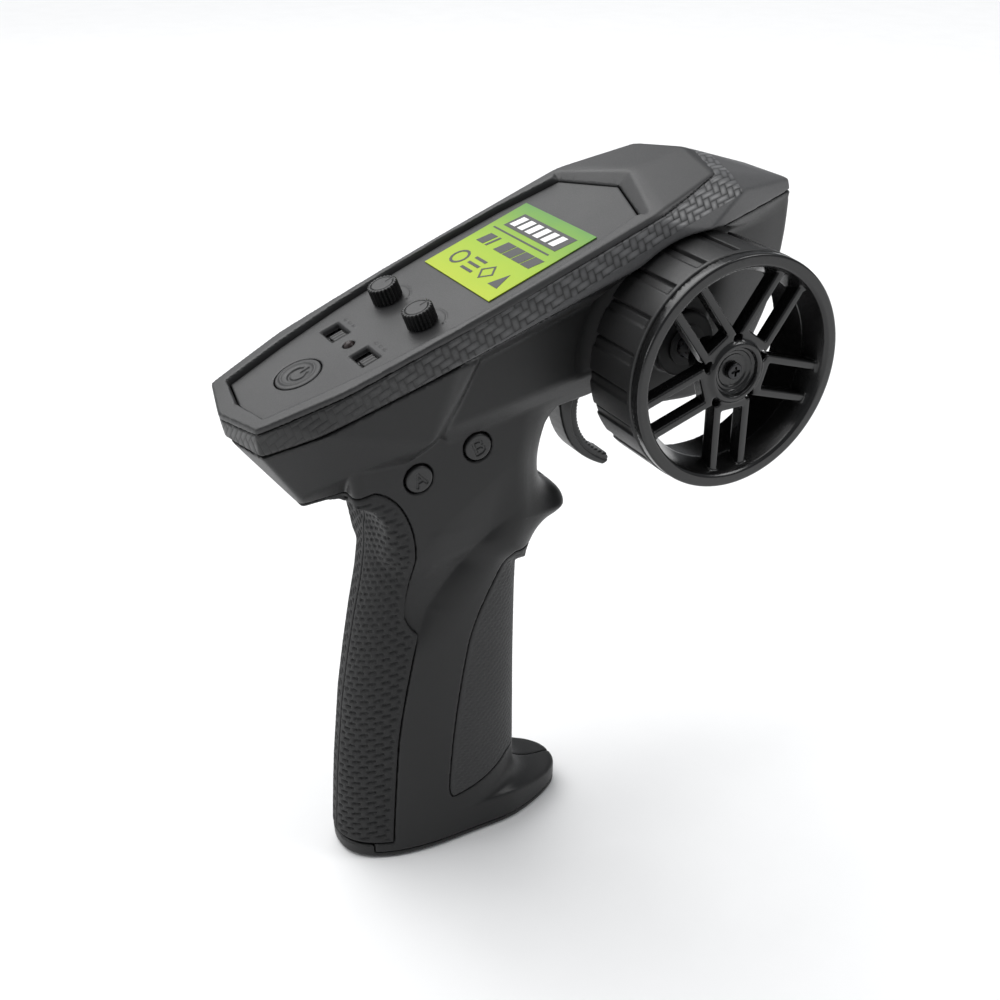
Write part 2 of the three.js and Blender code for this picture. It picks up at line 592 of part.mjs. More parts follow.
function wheelTread() {
  const { y, z, radius, face, back } = WHEEL;
  const block = (2 * Math.PI) / TREAD_BLOCKS;
  // A groove, a low strip and a raised block, as shares of one block's turn and their radii.
  const steps = [
    [0, 30], [0.055, 30], [0.056, 30.85], [0.3, 30.85], [0.31, 31.2], [0.65, 31.2], [0.999, 31.2],
  ];
  const points = [];
  for (let i = 0; i < TREAD_BLOCKS; i++) {
    for (const [share, reach] of steps) {
      const turn = Math.PI / 2 + (i + share) * block;
      points.push([reach * Math.cos(turn), reach * Math.sin(turn)]);
    }
  }
  const shape = polygon(points);
  shape.holes.push(new THREE.Path().absarc(0, 0, 29.5, 0, 2 * Math.PI, true));
  const settings = { depth: face - 3 - GAP - back, bevelEnabled: false, curveSegments: 40 };
  const geometry = new THREE.ExtrudeGeometry(shape, settings);
  const acrossWheel = new THREE.Matrix4().set(0, 0, 1, back, 1, 0, 0, y, 0, 1, 0, z, 0, 0, 0, 1);
  return solid(geometry.applyMatrix4(acrossWheel));
}

function wheelScrew() {
  const head = WHEEL.face - 3.5;
  const cap = barX(2.2, head, head + 1.5, WHEEL.y, WHEEL.z, 20);
  const shank = barX(1.1, head - 8, head + 0.2, WHEEL.y, WHEEL.z, 12);
  const slots = [0, Math.PI / 2].map((turn) => onWheel(
    new THREE.BoxGeometry(1.6, 2.6, 0.6).translate(head + 1.4, 0, 0), turn));
  return cut(join(cap, shank), ...slots);
}

function steeringShaft() {
  const { y, z, face } = WHEEL;
  const bar = barX(SHAFT_RADIUS, -6, face - 5.3, y, z, 24);
  return cut(bar, barX(1.4, face - 13, face, y, z, 12));
}

function shaftBush() {
  const { y, z } = WHEEL;
  return turnedX([[3.35, 11], [3.35, 22], [5.6, 22], [5.6, 21.6], [4.3, 21.6], [4.3, 11]], y, z, 24);
}

// Cross arm on the shaft that the centring spring's legs press on.
function springArm() {
  const { y, z } = WHEEL;
  const arm = join(barX(5.6, 1, 4, y, z, 24), box(1, 4, y - 2, y + 2, z, z + 12));
  return cut(arm, barX(SHAFT_RADIUS + GAP, -5, 8, y, z, 24));
}

class Helix extends THREE.Curve {
  constructor(radius, x0, x1, turns, y, z) {
    super();
    Object.assign(this, { radius, x0, x1, turns, y, z });
  }

  getPoint(t, target = new THREE.Vector3()) {
    const turn = t * this.turns * 2 * Math.PI;
    const x = this.x0 + (this.x1 - this.x0) * t;
    return target.set(x, this.y + this.radius * Math.cos(turn), this.z + this.radius * Math.sin(turn));
  }
}

function coilSpring(radius, wire, x0, x1, turns, y, z) {
  const section = new THREE.Shape().absarc(0, 0, wire / 2, 0, 2 * Math.PI, false);
  const path = new Helix(radius, x0, x1, turns, y, z);
  const settings = { extrudePath: path, steps: turns * 12, curveSegments: 3, bevelEnabled: false };
  return solid(new THREE.ExtrudeGeometry(section, settings));
}

function steeringPot() {
  const { y, z } = WHEEL;
  const housing = join(box(-11, -3, y - 8, y + 8, z - 8, z + 8), barX(4.6, -4, -1.6, y, z, 20));
  return cut(housing, barX(SHAFT_RADIUS + GAP, -8, 0, y, z, 24));
}

add(transmitter, 'steering_wheel_rim', wheelRim(), GLOSS_BLACK);
add(transmitter, 'steering_wheel_spider', wheelSpider(), GLOSS_BLACK);
add(transmitter, 'steering_wheel_tread', wheelTread(), SOFT_BLACK);
add(transmitter, 'steering_wheel_screw', wheelScrew(), STEEL);
add(transmitter, 'steering_shaft', steeringShaft(), STEEL);
add(transmitter, 'steering_bush', shaftBush(), WHITE_NYLON);
add(transmitter, 'steering_spring_arm', springArm(), WHITE_NYLON);
add(transmitter, 'steering_spring', coilSpring(5.2, 1, 5, 10, 3, WHEEL.y, WHEEL.z), STEEL);
add(transmitter, 'steering_pot', steeringPot(), BRASS);

// ---------------------------------------------------------------- trigger
function triggerOutline() {
  const shape = new THREE.Shape();
  shape.moveTo(29, 134);
  shape.quadraticCurveTo(29.2, 119, 35, 112.8);
  shape.quadraticCurveTo(38.5, 109, 44, 106.3);
  shape.quadraticCurveTo(47, 106.6, 45.4, 109.6);
  shape.quadraticCurveTo(39.5, 113, 37, 117.4);
  shape.quadraticCurveTo(33.6, 123.5, 36.4, 131);
  shape.lineTo(37.5, 137);
  shape.lineTo(31, 139);
  return shape;
}

function trigger() {
  const { y, z, halfWidth, hub, pin } = TRIGGER;
  const blade = sideSlab(triggerOutline(), -halfWidth, halfWidth, 0.9);
  return cut(join(blade, barX(hub, -halfWidth, halfWidth, y, z, 28)), barX(pin + GAP, -9, 9, y, z, 20));
}

function triggerPin() {
  return barX(TRIGGER.pin, -12, 11, TRIGGER.y, TRIGGER.z, 20);
}

function triggerPot() {
  const { y, z, pin } = TRIGGER;
  return cut(box(-13.2, -9.2, y - 5.5, y + 5.5, z - 5.5, z + 5.5), barX(pin + GAP, -12.4, -8, y, z, 20));
}

add(transmitter, 'trigger', trigger(), SATIN_BLACK);
add(transmitter, 'trigger_pin', triggerPin(), STEEL);
add(transmitter, 'trigger_pot', triggerPot(), BRASS);

// ---------------------------------------------------------------- side buttons
function sideButton(y, z) {
  const { radius } = SIDE_BUTTON;
  const cap = barX(radius, 11.2, TRUNK_HALF_WIDTH + 0.5, y, z, 24);
  const flange = barX(radius + 1, 11.2, 12.2, y, z, 24);
  return join(cap, flange);
}

function sideSwitch(y, z) {
  return join(box(6.8, 8.2, y - 3, y + 3, z - 3, z + 3), barX(1.6, 8, 10.2, y, z, 16));
}

for (const [letter, y, z] of SIDE_BUTTON.places) {
  add(transmitter, `button_${letter}`, sideButton(y, z), SATIN_BLACK);
  add(transmitter, `button_${letter}_switch`, sideSwitch(y, z), GLOSS_BLACK);
}
add(transmitter, 'button_board', box(5.1, 6.7, -24, 2.4, 118.5, 131.5), BOARD_GREEN);

// ---------------------------------------------------------------- power
function batteryBox() {
  const outer = box(-12, 12, CELL.centreY - 12.1, CELL.centreY + 12.1, 2.6, 53.3);
  return cut(outer, box(-10.9, 10.9, CELL.centreY - 10.9, CELL.centreY + 10.9, 0, 52));
}

function cell(x, y) {
  const { radius, length, bottom } = CELL;
  const can = barZ(radius, x, y, bottom, bottom + length - 1, 20);
  return join(can, barZ(1.9, x, y, bottom + length - 1.1, bottom + length, 12));
}

add(transmitter, 'battery_box', batteryBox(), SATIN_BLACK);
let cellNumber = 1;
for (const x of [-CELL.pitch / 2, CELL.pitch / 2]) {
  for (const y of [CELL.centreY - CELL.pitch / 2, CELL.centreY + CELL.pitch / 2]) {
    add(transmitter, `cell_${cellNumber}`, cell(x, y), CELL_WRAP);
    cellNumber += 1;
  }
}
const contactPlate = (halfWidth, halfLength, bottom) => box(
  -halfWidth, halfWidth, CELL.centreY - halfLength, CELL.centreY + halfLength, bottom, bottom + 0.5);
add(transmitter, 'contact_plate_upper', contactPlate(10.2, 10.2, 50.3), STEEL);
add(transmitter, 'contact_plate_lower', contactPlate(8, 9, 4.4), STEEL);

// ---------------------------------------------------------------- fasteners and aerial
function casingScrew(y, z) {
  const head = join(barX(2.3, -10.8, -9.3, y, z, 12), barX(1.1, -9.4, 8.6, y, z, 8));
  return cut(head, box(-12, -10.3, y - 1.4, y + 1.4, z - 0.35, z + 0.35));
}

CASING_SCREWS.forEach(([y, z], i) => {
  add(transmitter, `casing_screw_${i + 1}`, casingScrew(y, z), STEEL);
});

const aerial = new THREE.CylinderGeometry(1.1, 1.1, 31, 12).translate(-7, 78, 171.5);
add(transmitter, 'aerial', solid(aerial), SATIN_BLACK);

export default transmitter;
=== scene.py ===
# Pistol-grip radio transmitter: the looks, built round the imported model.
# The moulded pieces are distance fields sampled in millimetres, cut along their parting lines and
# meshed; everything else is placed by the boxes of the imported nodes.
import itertools
import math

import bmesh
import bpy
import numpy as np
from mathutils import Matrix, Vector


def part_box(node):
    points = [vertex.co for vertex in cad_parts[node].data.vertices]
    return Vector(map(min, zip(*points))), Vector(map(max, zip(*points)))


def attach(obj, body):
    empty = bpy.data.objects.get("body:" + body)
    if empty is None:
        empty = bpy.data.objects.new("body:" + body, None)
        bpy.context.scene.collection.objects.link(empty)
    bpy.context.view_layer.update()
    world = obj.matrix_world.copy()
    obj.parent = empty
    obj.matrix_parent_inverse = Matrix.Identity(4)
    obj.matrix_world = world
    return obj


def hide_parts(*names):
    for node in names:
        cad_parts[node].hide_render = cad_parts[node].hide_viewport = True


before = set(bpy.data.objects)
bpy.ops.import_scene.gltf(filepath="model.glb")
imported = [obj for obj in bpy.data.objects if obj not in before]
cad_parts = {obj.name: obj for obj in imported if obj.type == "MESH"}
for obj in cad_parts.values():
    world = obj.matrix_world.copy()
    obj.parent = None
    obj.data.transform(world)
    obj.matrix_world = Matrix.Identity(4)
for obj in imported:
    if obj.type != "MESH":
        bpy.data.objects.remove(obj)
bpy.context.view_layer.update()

# ---- driving dimensions, millimetres
MM = 0.001
COARSENESS = 1.0
WALL = 2.4                 # casing wall
SPLIT = 0.12               # gap at the parting lines
PITCH = math.radians(20.4)
DECK_HEIGHT = 167.3        # the deck plane over the origin
PANEL_TOP = -0.9           # heights in the deck's frame
PANEL_UNDERSIDE = -2.7
HALF_TRUNK = 16.0
PAD_DEPTH = 1.2
BUTTON_RADIUS = 3.7
POWER_RADIUS = 6.05
LAMP_RADIUS = 1.45
KNOB_RADIUS = 4.1
KNOB_TOP = 3.9
KNOB_TEETH = 24
SWITCH_WINDOW = (3.8, 2.35)   # half length and half width
SPOKE_PAIRS = 5
TREAD_BLOCKS = 20
CAMERA_PLACE = (0.2908, -0.1482, 0.2785)    # metres
CAMERA_AZIMUTH = math.radians(61.0)
CAMERA_ELEVATION = math.radians(28.1)
WEAVE_PITCH = 1.9          # width of one thread of the moulded twill


def node_box(name):
    low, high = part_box(name)
    return np.array(low) / MM, np.array(high) / MM


def centre(name):
    low, high = node_box(name)
    return (low + high) / 2


def on_deck(x, s, h):
    """A point of the deck's frame in the object's frame."""
    up, along = math.cos(PITCH), math.sin(PITCH)
    return (x, s * up - h * along, DECK_HEIGHT + s * along + h * up)


def deck_of(point):
    x, y, z = point
    up, along = math.cos(PITCH), math.sin(PITCH)
    return (x, y * up + (z - DECK_HEIGHT) * along, (z - DECK_HEIGHT) * up - y * along)


def deck_centre(name):
    """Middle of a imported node's extents in the deck's frame."""
    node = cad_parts[name]
    places = np.array([deck_of(node.matrix_world @ vertex.co / MM) for vertex in node.data.vertices])
    return (places.min(axis=0) + places.max(axis=0)) / 2


WHEEL_LOW, WHEEL_HIGH = node_box("steering_wheel_rim")
WHEEL_AXIS = (WHEEL_LOW[1:] + WHEEL_HIGH[1:]) / 2
WHEEL_FACE = float(WHEEL_HIGH[0])
WHEEL_BACK = float(WHEEL_LOW[0])
WHEEL_RADIUS = 31.0
PIVOT = centre("trigger_pin")
BUTTONS = {letter: centre("button_" + letter) for letter in "ab"}
KNOBS = {side: deck_centre("trim_knob_" + side) for side in ("left", "right")}
SWITCHES = {side: deck_centre("reverse_switch_body_" + side) for side in ("left", "right")}
POWER_BUTTON = deck_centre("power_button")
LAMP = deck_centre("status_lamp")
SCREWS = [centre("casing_screw_%d" % number) for number in range(1, 7)]


# ---- distance fields
def smooth_max(a, b, reach):
    reach = np.asarray(reach, np.float32)
    near = np.maximum(reach - np.abs(a - b), 0)
    return np.maximum(a, b) + near * near * (0.25 / reach)


def smooth_min(a, b, reach):
    return -smooth_max(-a, -b, reach)


def ramp(value, start, end):
    """0 before start, 1 after end, smooth between them."""
    share = np.clip((value - start) / (end - start), 0, 1)
    return share * share * (3 - 2 * share)


class Grid:
    """Sample points on a regular lattice, with their places in the deck's frame too."""

    def __init__(self, low, high, step):
        step = step * COARSENESS
        counts = [int(math.ceil((b - a) / step)) + 1 for a, b in zip(low, high)]
        self.step = step
        self.axes = [np.float32(a) + np.float32(step) * np.arange(n, dtype=np.float32)
                     for a, n in zip(low, counts)]
        self.lay_out()

    def lay_out(self):
        self.shape = tuple(len(axis) for axis in self.axes)
        self.x = self.axes[0][:, None, None]
        self.y = self.axes[1][None, :, None]
        self.z = self.axes[2][None, None, :]
        up, along = np.float32(math.cos(PITCH)), np.float32(math.sin(PITCH))
        self.s = self.y * up + (self.z - DECK_HEIGHT) * along
        self.h = (self.z - DECK_HEIGHT) * up - self.y * along

    def part(self, low, high):
        """The stretch of the grid between two corners, and its place in the grid."""
        place = []
        for axis, a, b in zip(self.axes, low, high):
            first = int(np.searchsorted(axis, a))
            place.append(slice(max(first - 1, 0), int(np.searchsorted(axis, b)) + 1))
        piece = Grid.__new__(Grid)
        piece.step = self.step
        piece.axes = [axis[stretch] for axis, stretch in zip(self.axes, place)]
        piece.lay_out()
        return piece, tuple(place)


def hull_planes(points):
    """Outward planes of the hull of points and their mirror images in x."""
    mesh = bmesh.new()
    for x, y, z in points:
        for side in ((1, -1) if x > 0 else (1,)):
            mesh.verts.new((x * side, y, z))
    bmesh.ops.convex_hull(mesh, input=mesh.verts)
    mesh.normal_update()
    middle = Vector(np.mean([tuple(p) for p in points], axis=0))
    middle.x = 0
    planes = []
    for face in mesh.faces:
        normal = face.normal.copy()
        offset = normal.dot(face.verts[0].co)
        if normal.dot(middle) > offset:
            normal, offset = -normal, -offset
        alike = any(normal.dot(other) > 0.9999 and abs(offset - far) < 0.05 for other, far in planes)
        if not alike and normal.x > -0.5:
            planes.append((normal, offset))
    mesh.free()
    return planes


def hull_field(grid, planes, edge):
    field = None
    for normal, offset in planes:
        a, b, c = (np.float32(v) for v in normal)
        face = a * grid.x + (b * grid.y + c * grid.z - np.float32(offset))
        field = face if field is None else smooth_max(field, face, edge)
    return field


def outline_field(points, u, v):
    """Signed distance to a closed outline, negative inside."""
    shape = np.broadcast(u, v).shape
    nearest = np.full(shape, 1e6, np.float32)
    inside = np.zeros(shape, bool)
    for (u0, v0), (u1, v1) in zip(points, points[1:] + points[:1]):
        du, dv = u1 - u0, v1 - v0
        share = np.clip(((u - u0) * du + (v - v0) * dv) / (du * du + dv * dv), 0, 1)
        nearest = np.minimum(nearest, (u - u0 - share * du) ** 2 + (v - v0 - share * dv) ** 2)
        spans = (v0 <= v) != (v1 <= v)
        inside ^= spans & (u < u0 + (v - v0) * (du / (dv if dv else 1e-9)))
    return (np.where(inside, -1, 1) * np.sqrt(nearest)).astype(np.float32)


def line_distance(points, u, v):
    """Distance to an open line of points."""
    nearest = np.full(np.broadcast(u, v).shape, 1e6, np.float32)
    for (u0, v0), (u1, v1) in zip(points, points[1:]):
        du, dv = u1 - u0, v1 - v0
        share = np.clip(((u - u0) * du + (v - v0) * dv) / (du * du + dv * dv), 0, 1)
        nearest = np.minimum(nearest, (u - u0 - share * du) ** 2 + (v - v0 - share * dv) ** 2)
    return np.sqrt(nearest)


def curved(*steps, pieces=8):
    """An outline through points; a step of two points is a bend through a control point."""
    points = [steps[0]]
    for step in steps[1:]:
        if not isinstance(step[0], tuple):
            points.append(step)
            continue
        (cu, cv), (eu, ev) = step
        su, sv = points[-1]
        for i in range(1, pieces + 1):
            t = i / pieces
            points.append(((1 - t) ** 2 * su + 2 * t * (1 - t) * cu + t * t * eu,
                           (1 - t) ** 2 * sv + 2 * t * (1 - t) * cv + t * t * ev))
    return points


# ---- the outer form
def deck_points(*places):
    return [on_deck(*place) for place in places]


UPPER_SLAB = deck_points(
    (0, -68.2, 0.8), (15.9, -64.1, 0.8), (21.9, -41.5, 0.8), (23.8, -12, 0.8), (24.3, 12, 0.8),
    (24.3, 47, 0.8), (17.9, 68.7, -1.25), (0, 72.6, -0.1), (0, 54.6, 1.9),
    (0, -69.2, -6.6), (14.6, -66, -6.9), (20.8, -51.5, -7.1), (24.7, -16, -7.6), (26.2, 20, -7),
    (27.1, 51, -5.4), (22, 74.1, -8.1), (24.9, -2, -8.4), (27.3, 32, -8.1), (27.6, 58, -9.9),
    (12, -62, -10), (18, -20, -13),
) + [(10.4, 96.4, 182.8), (10.8, 97.2, 178.6), (18.5, 58, 172), (10, 92, 172)]
REAR_FLANKS = deck_points(
    (0, -68.6, -7.2), (14.5, -65.8, -7.4), (20.7, -51.5, -7.6), (24.5, -16, -8.2),
) + [(22.9, -5.5, 154.4), (22, -17.9, 134.9), (16.4, -33.8, 128.4), (10, -48.6, 121.6),
     (6.5, -46.9, 117.2), (8, -30, 118), (18.6, -11.5, 136.4), (18.6, 0, 157), (12, -14, 128)]
HEAD_MIDDLE = [(19, -14, 135.2), (19, -6, 158), (19, 28, 142.6), (19, 62, 176), (19, 66, 150),
               (15, -10, 129), (14, 34, 134)]
HEAD_NOSE = [(14, 37, 131), (14, 46, 127), (12.5, 69, 124.6), (11.8, 84, 130), (10.6, 94, 147),
             (10.6, 97.6, 165), (10.7, 97.6, 178.4), (19, 34, 142.6), (19, 66, 148), (19, 66, 174),
             (15.5, 84, 176), (19, 34, 168)]
# Points, rounding of their edges, and how softly they meet what is already there.
HULLS = [(UPPER_SLAB, 0.5, 0.4), (REAR_FLANKS, 0.45, 0.3), (HEAD_MIDDLE, 0.8, 0.7),
         (HEAD_NOSE, 1.6, 1.0)]

TRUNK = curved(
    (-22, 86), (-27.6, 98), (-27.8, 107), ((-28.4, 115), (-36, 117.5)), (-40, 140), (40, 160),
    (40, 134.5), ((26, 133), (22.3, 126.5)), ((19.2, 118), (20.6, 112)), ((21.4, 108.4), (24.6, 106.8)),
    ((29.2, 104.8), (28.8, 101.4)), ((28.2, 98.6), (22.6, 96.8)), ((17.8, 94.4), (16.4, 86)))

# Height, rear, front and half width of the upright grip, and the front of the foot under it.
GRIP_LEVELS = [(0, -40.8, 14.9, 14.9), (1.2, -41.5, 14.9, 15.7), (6.6, -41.8, 14.9, 15.8),
               (20, -40.9, 14.9, 15.8), (30, -40.0, 14.9, 15.8), (52, -37.4, 14.9, 15.9),
               (66, -34.9, 15.1, 15.9), (78, -32.4, 15.3, 16), (88, -30.0, 15.8, 16),
               (98, -28.4, 17.5, 16), (108, -27.8, 17.5, 16)]
FOOT_FRONT = 30.4
FOOT_RIDGE = 7.4
GRIP_MIDDLE = -11.0
GRIP_SQUARENESS = 2.35

# The thumb's hollow on each side of the grip: the line of its crease.
HOLLOW_CREASE = curved((14, 108), ((-7.5, 96), (-16.4, 82.5)), (-21.4, 70))
FRONT_CROWN = 5.0          # roundness of the trunk's section across the middle
HOLLOW_ABOVE = 14.0        # reach of the hollow over and under the crease
HOLLOW_BELOW = 10.0
HOLLOW_DEPTH = 2.7

COVER_LINE = [(-90, -0.9), (47, -0.9), (76, -2.3), (120, -3)]
CASING_LINE = [(-90, -7.5), (8, -8.2), (32, -8.9), (58, -10.8), (96, -22.4), (130, -30)]
HALF_PANEL = [(0, -62.7), (12.8, -60.5), (16.8, -44), (19.6, -27), (21.4, -8), (22, 8), (21.6, 26),
              (19.5, 44.3), (0, 51.1)]
PANEL = HALF_PANEL + [(-x, s) for x, s in HALF_PANEL[-2:0:-1]]
REAR_PAD = curved(
    (-70, 5.6), (-29.4, 5.6), (-29.2, 10.3), ((-28.2, 24), (-26.9, 39.1)), ((-25.6, 51), (-20.1, 75.4)),
    ((-22.4, 77.4), (-23.3, 80.9)), ((-23.2, 86), (-21.4, 93)), ((-19.2, 104), (-22.6, 112)),
    ((-25.4, 119.2), (-31.3, 121.4)), (-46, 119), (-70, 117))
FRONT_PAD = curved(
    (40, 92.7), (9.8, 92.7), ((-1.6, 81.4), (-5.2, 69)), ((-10.6, 45), (-12.3, 20.4)),
    ((-12.0, 16.8), (-10.8, 16.7)), ((0, 18.2), (8.5, 23)), (40, 23))
TRIGGER_SLOT = [(24, 119), (23.4, 128), (24, 147), (42, 147), (45, 133), (44, 122), (38, 118)]


def grip_column(heights):
    """Rear, front and half width at each height, as smooth curves through the levels."""
    levels = np.array(GRIP_LEVELS, float)
    fine = np.arange(-12, 124, 0.25)
    window = np.hanning(33)
    window /= window.sum()
    columns = []
    for column in (1, 2, 3):
        value = np.interp(fine, levels[:, 0], levels[:, column])
        smooth = np.convolve(value, window, mode="same")
        mixed = np.where(fine < 9, value, smooth)
        columns.append(np.interp(heights, fine, mixed).astype(np.float32))
    return columns


def ring_field(grid, rear, front, half_width):
    """An oval column with squarish rings, as a rough distance."""
    along = grid.y - GRIP_MIDDLE
    reach = np.where(along > 0, front - GRIP_MIDDLE, GRIP_MIDDLE - rear)
    power = np.float32(GRIP_SQUARENESS)
    size = (np.abs(grid.x) / half_width) ** power + (np.abs(along) / reach) ** power
    return ((size ** (1 / power) - 1) * half_width).astype(np.float32)


def grip_field(grid):
    rear, front, half_width = grip_column(grid.z)
    column = ring_field(grid, rear, front, half_width)
    foot = ring_field(grid, rear, np.float32(FOOT_FRONT), half_width)
    slope = grid.z - (FOOT_RIDGE + 0.1 * (FOOT_FRONT - grid.y))
    foot = smooth_max(foot, slope, 0.9)
    softness = 0.1 + 7 * ramp(grid.y, -6, 12)
    whole = smooth_min(column, foot, softness)
    whole = smooth_max(whole, -grid.z, 0.9)
    return smooth_max(whole, grid.z - 106, 2)


def trunk_field(grid):
    """The upright part, rounder towards the grip and on the finger's side."""
    side = outline_field(TRUNK, grid.y, grid.z)
    rear = 15.5 - 12 * ramp(grid.z, 88, 112)
    softness = rear + (15.5 - rear) * ramp(grid.y, 0, 15) * ramp(-grid.z, -142, -132)
    rounded = np.sqrt(grid.x ** 2 + FRONT_CROWN ** 2) - FRONT_CROWN
    rounded = rounded * HALF_TRUNK / (math.hypot(HALF_TRUNK, FRONT_CROWN) - FRONT_CROWN)
    return smooth_max(rounded - HALF_TRUNK, side, softness)


def hollow_depth(grid):
    """A valley along the crease: a long fall to it from above and a shorter rise below it."""
    crease = line_distance(HOLLOW_CREASE, grid.y, grid.z)
    over = outline_field(HOLLOW_CREASE + [(-60, 70), (-60, 130), (14, 130)], grid.y, grid.z) < 0
    share = np.clip(crease / np.where(over, HOLLOW_ABOVE, HOLLOW_BELOW), 0, 1)
    fall = np.where(over, (1 - share) ** 1.5 * (1 + 0.5 * share), (1 - share) ** 2)
    ends = ramp(-grid.y, -13, -2) * ramp(grid.z, 68, 84)
    return (HOLLOW_DEPTH * fall * ends).astype(np.float32)


def merge(form, grid, low, high, field, softness):
    part, place = grid.part(low, high)
    if 0 not in part.shape:
        reach = softness(part) if callable(softness) else softness
        form[place] = smooth_min(form[place], field(part), reach)


def outer_form(grid):
    """The outside of the whole casing for x from 0 up, without hollows for the wheel or thumb."""
    form = np.full(grid.shape, 12, np.float32)
    margin = 3
    for points, edge, softness in HULLS:
        planes = hull_planes(points)
        low, high = np.min(points, axis=0) - margin, np.max(points, axis=0) + margin
        low[0] = -margin
        merge(form, grid, low, high, lambda part: hull_field(part, planes, edge), softness)
    merge(form, grid, (-margin, -44, 84), (21, 43, 158), trunk_field,
          lambda part: 0.5 + 3.5 * ramp(-part.z, -122, -113))
    merge(form, grid, (-margin, -46, -4), (21, 35, 109), grip_field, 1.2)
    return form


def with_hollow(form, grid):
    """Pushes the sides in by the hollow's depth."""
    part, place = grid.part((-1, -40, 60), (21, 20, 124))
    carved = form.copy()
    carved[place] += hollow_depth(part) * ramp(part.x, 4, 9)
    return carved


def from_axis(grid, y, z):
    return np.sqrt((grid.y - np.float32(y)) ** 2 + (grid.z - np.float32(z)) ** 2)


def with_wheel_room(form, grid):
    room = np.maximum(from_axis(grid, *WHEEL_AXIS) - (WHEEL_RADIUS + 1.3), 18.8 - grid.x)
    return smooth_max(form, -room, 0.7)


def above(grid, line):
    """Height over a parting line, square to the deck."""
    places = np.array(line)
    return grid.h - np.interp(grid.s, places[:, 0], places[:, 1]).astype(np.float32)


# ---- meshes from fields
def crossing_means(field, cells):
    """For each cell, the mean of the points where the surface crosses its edges, in cells."""
    total = np.zeros((len(cells), 3))
    hits = np.zeros(len(cells))
    for axis, first, second in itertools.product(range(3), (0, 1), (0, 1)):
        others = [i for i in range(3) if i != axis]
        start = cells.copy()
        start[:, others[0]] += first
        start[:, others[1]] += second
        end = start.copy()
        end[:, axis] += 1
        f0 = field[tuple(start.T)].astype(float)
        f1 = field[tuple(end.T)].astype(float)
        crossed = (f0 < 0) != (f1 < 0)
        point = start.astype(float)
        point[:, axis] += np.where(crossed, f0 / np.where(crossed, f0 - f1, 1), 0)
        total[crossed] += point[crossed]
        hits[crossed] += 1
    return total / hits[:, None]


def surface_net(field, grid):
    """Points and four-sided faces of a field's zero surface: a point in each cell it passes through."""
    inside = field < 0
    count = np.zeros(tuple(n - 1 for n in field.shape), np.uint8)
    halves = (slice(0, -1), slice(1, None))
    for a, b, c in itertools.product(halves, repeat=3):
        count += inside[a, b, c]
    active = (count > 0) & (count < 8)
    cells = np.argwhere(active)
    number = np.full(active.shape, -1, np.int32)
    number[active] = np.arange(len(cells), dtype=np.int32)
    origin = np.array([axis[0] for axis in grid.axes], float)
    points = origin + grid.step * crossing_means(field, cells)
    faces = []
    for axis in range(3):
        turned = (axis, (axis + 1) % 3, (axis + 2) % 3)
        along = np.moveaxis(inside, turned, (0, 1, 2))[:, 1:-1, 1:-1]
        changed = along[:-1] != along[1:]
        edge = np.argwhere(changed)
        edge[:, 1:] += 1
        order = np.moveaxis(number, turned, (0, 1, 2))
        i, j, k = edge.T
        quad = np.stack([order[i, j - 1, k - 1], order[i, j, k - 1], order[i, j, k],
                         order[i, j - 1, k]], axis=1)
        outward = along[:-1][changed]
        faces.append(np.where(outward[:, None], quad, quad[:, ::-1]))
    return points, np.concatenate(faces)


def mesh_object(name, points, faces):
    mesh = bpy.data.meshes.new(name)
    mesh.vertices.add(len(points))
    mesh.vertices.foreach_set("co", (points * MM).astype(np.float32).ravel())
    mesh.loops.add(faces.size)
    mesh.loops.foreach_set("vertex_index", faces.astype(np.int32).ravel())
    mesh.polygons.add(len(faces))
    mesh.polygons.foreach_set("loop_start", np.arange(0, faces.size, faces.shape[1], dtype=np.int32))
    mesh.update(calc_edges=True)
    mesh.validate()
    piece = bpy.data.objects.new(name, mesh)
    bpy.context.scene.collection.objects.link(piece)
    return piece


def thinned(piece, share):
    """Fewer faces where the surface is flat; the modifier is applied."""
    thin = piece.modifiers.new("thin", "DECIMATE")
    thin.ratio = share
    thin.use_collapse_triangulate = True
    bpy.context.view_layer.update()
    result = bpy.data.meshes.new_from_object(piece.evaluated_get(bpy.context.evaluated_depsgraph_get()))
    piece.modifiers.clear()
    old = piece.data
    piece.data = result
    bpy.data.meshes.remove(old)


def smooth_faces(piece, angle=38):
    piece.data.shade_smooth()
    piece.data.set_sharp_from_angle(angle=math.radians(angle))
    even = piece.modifiers.new("even_normals", "WEIGHTED_NORMAL")
    even.keep_sharp = True


def finish_piece(piece, look, body, nodes=()):
    piece.data.materials.append(LOOKS[look])
    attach(piece, body)
    if nodes:
        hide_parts(*nodes)


def sculpted(name, field, grid, look, body, nodes, keep=0.3, left=False, deck=False):
    """A piece meshed from a field. left mirrors it in x; deck says that the grid is the deck's."""
    points, faces = surface_net(field.astype(np.float32), grid)
    if left:
        points[:, 0] *= -1
        faces = faces[:, ::-1]
    if deck:
        points = np.stack(on_deck(points[:, 0], points[:, 1], points[:, 2]), axis=1)
    piece = mesh_object(name, points, faces)
    thinned(piece, keep)
    smooth_faces(piece)
    finish_piece(piece, look, body, nodes)


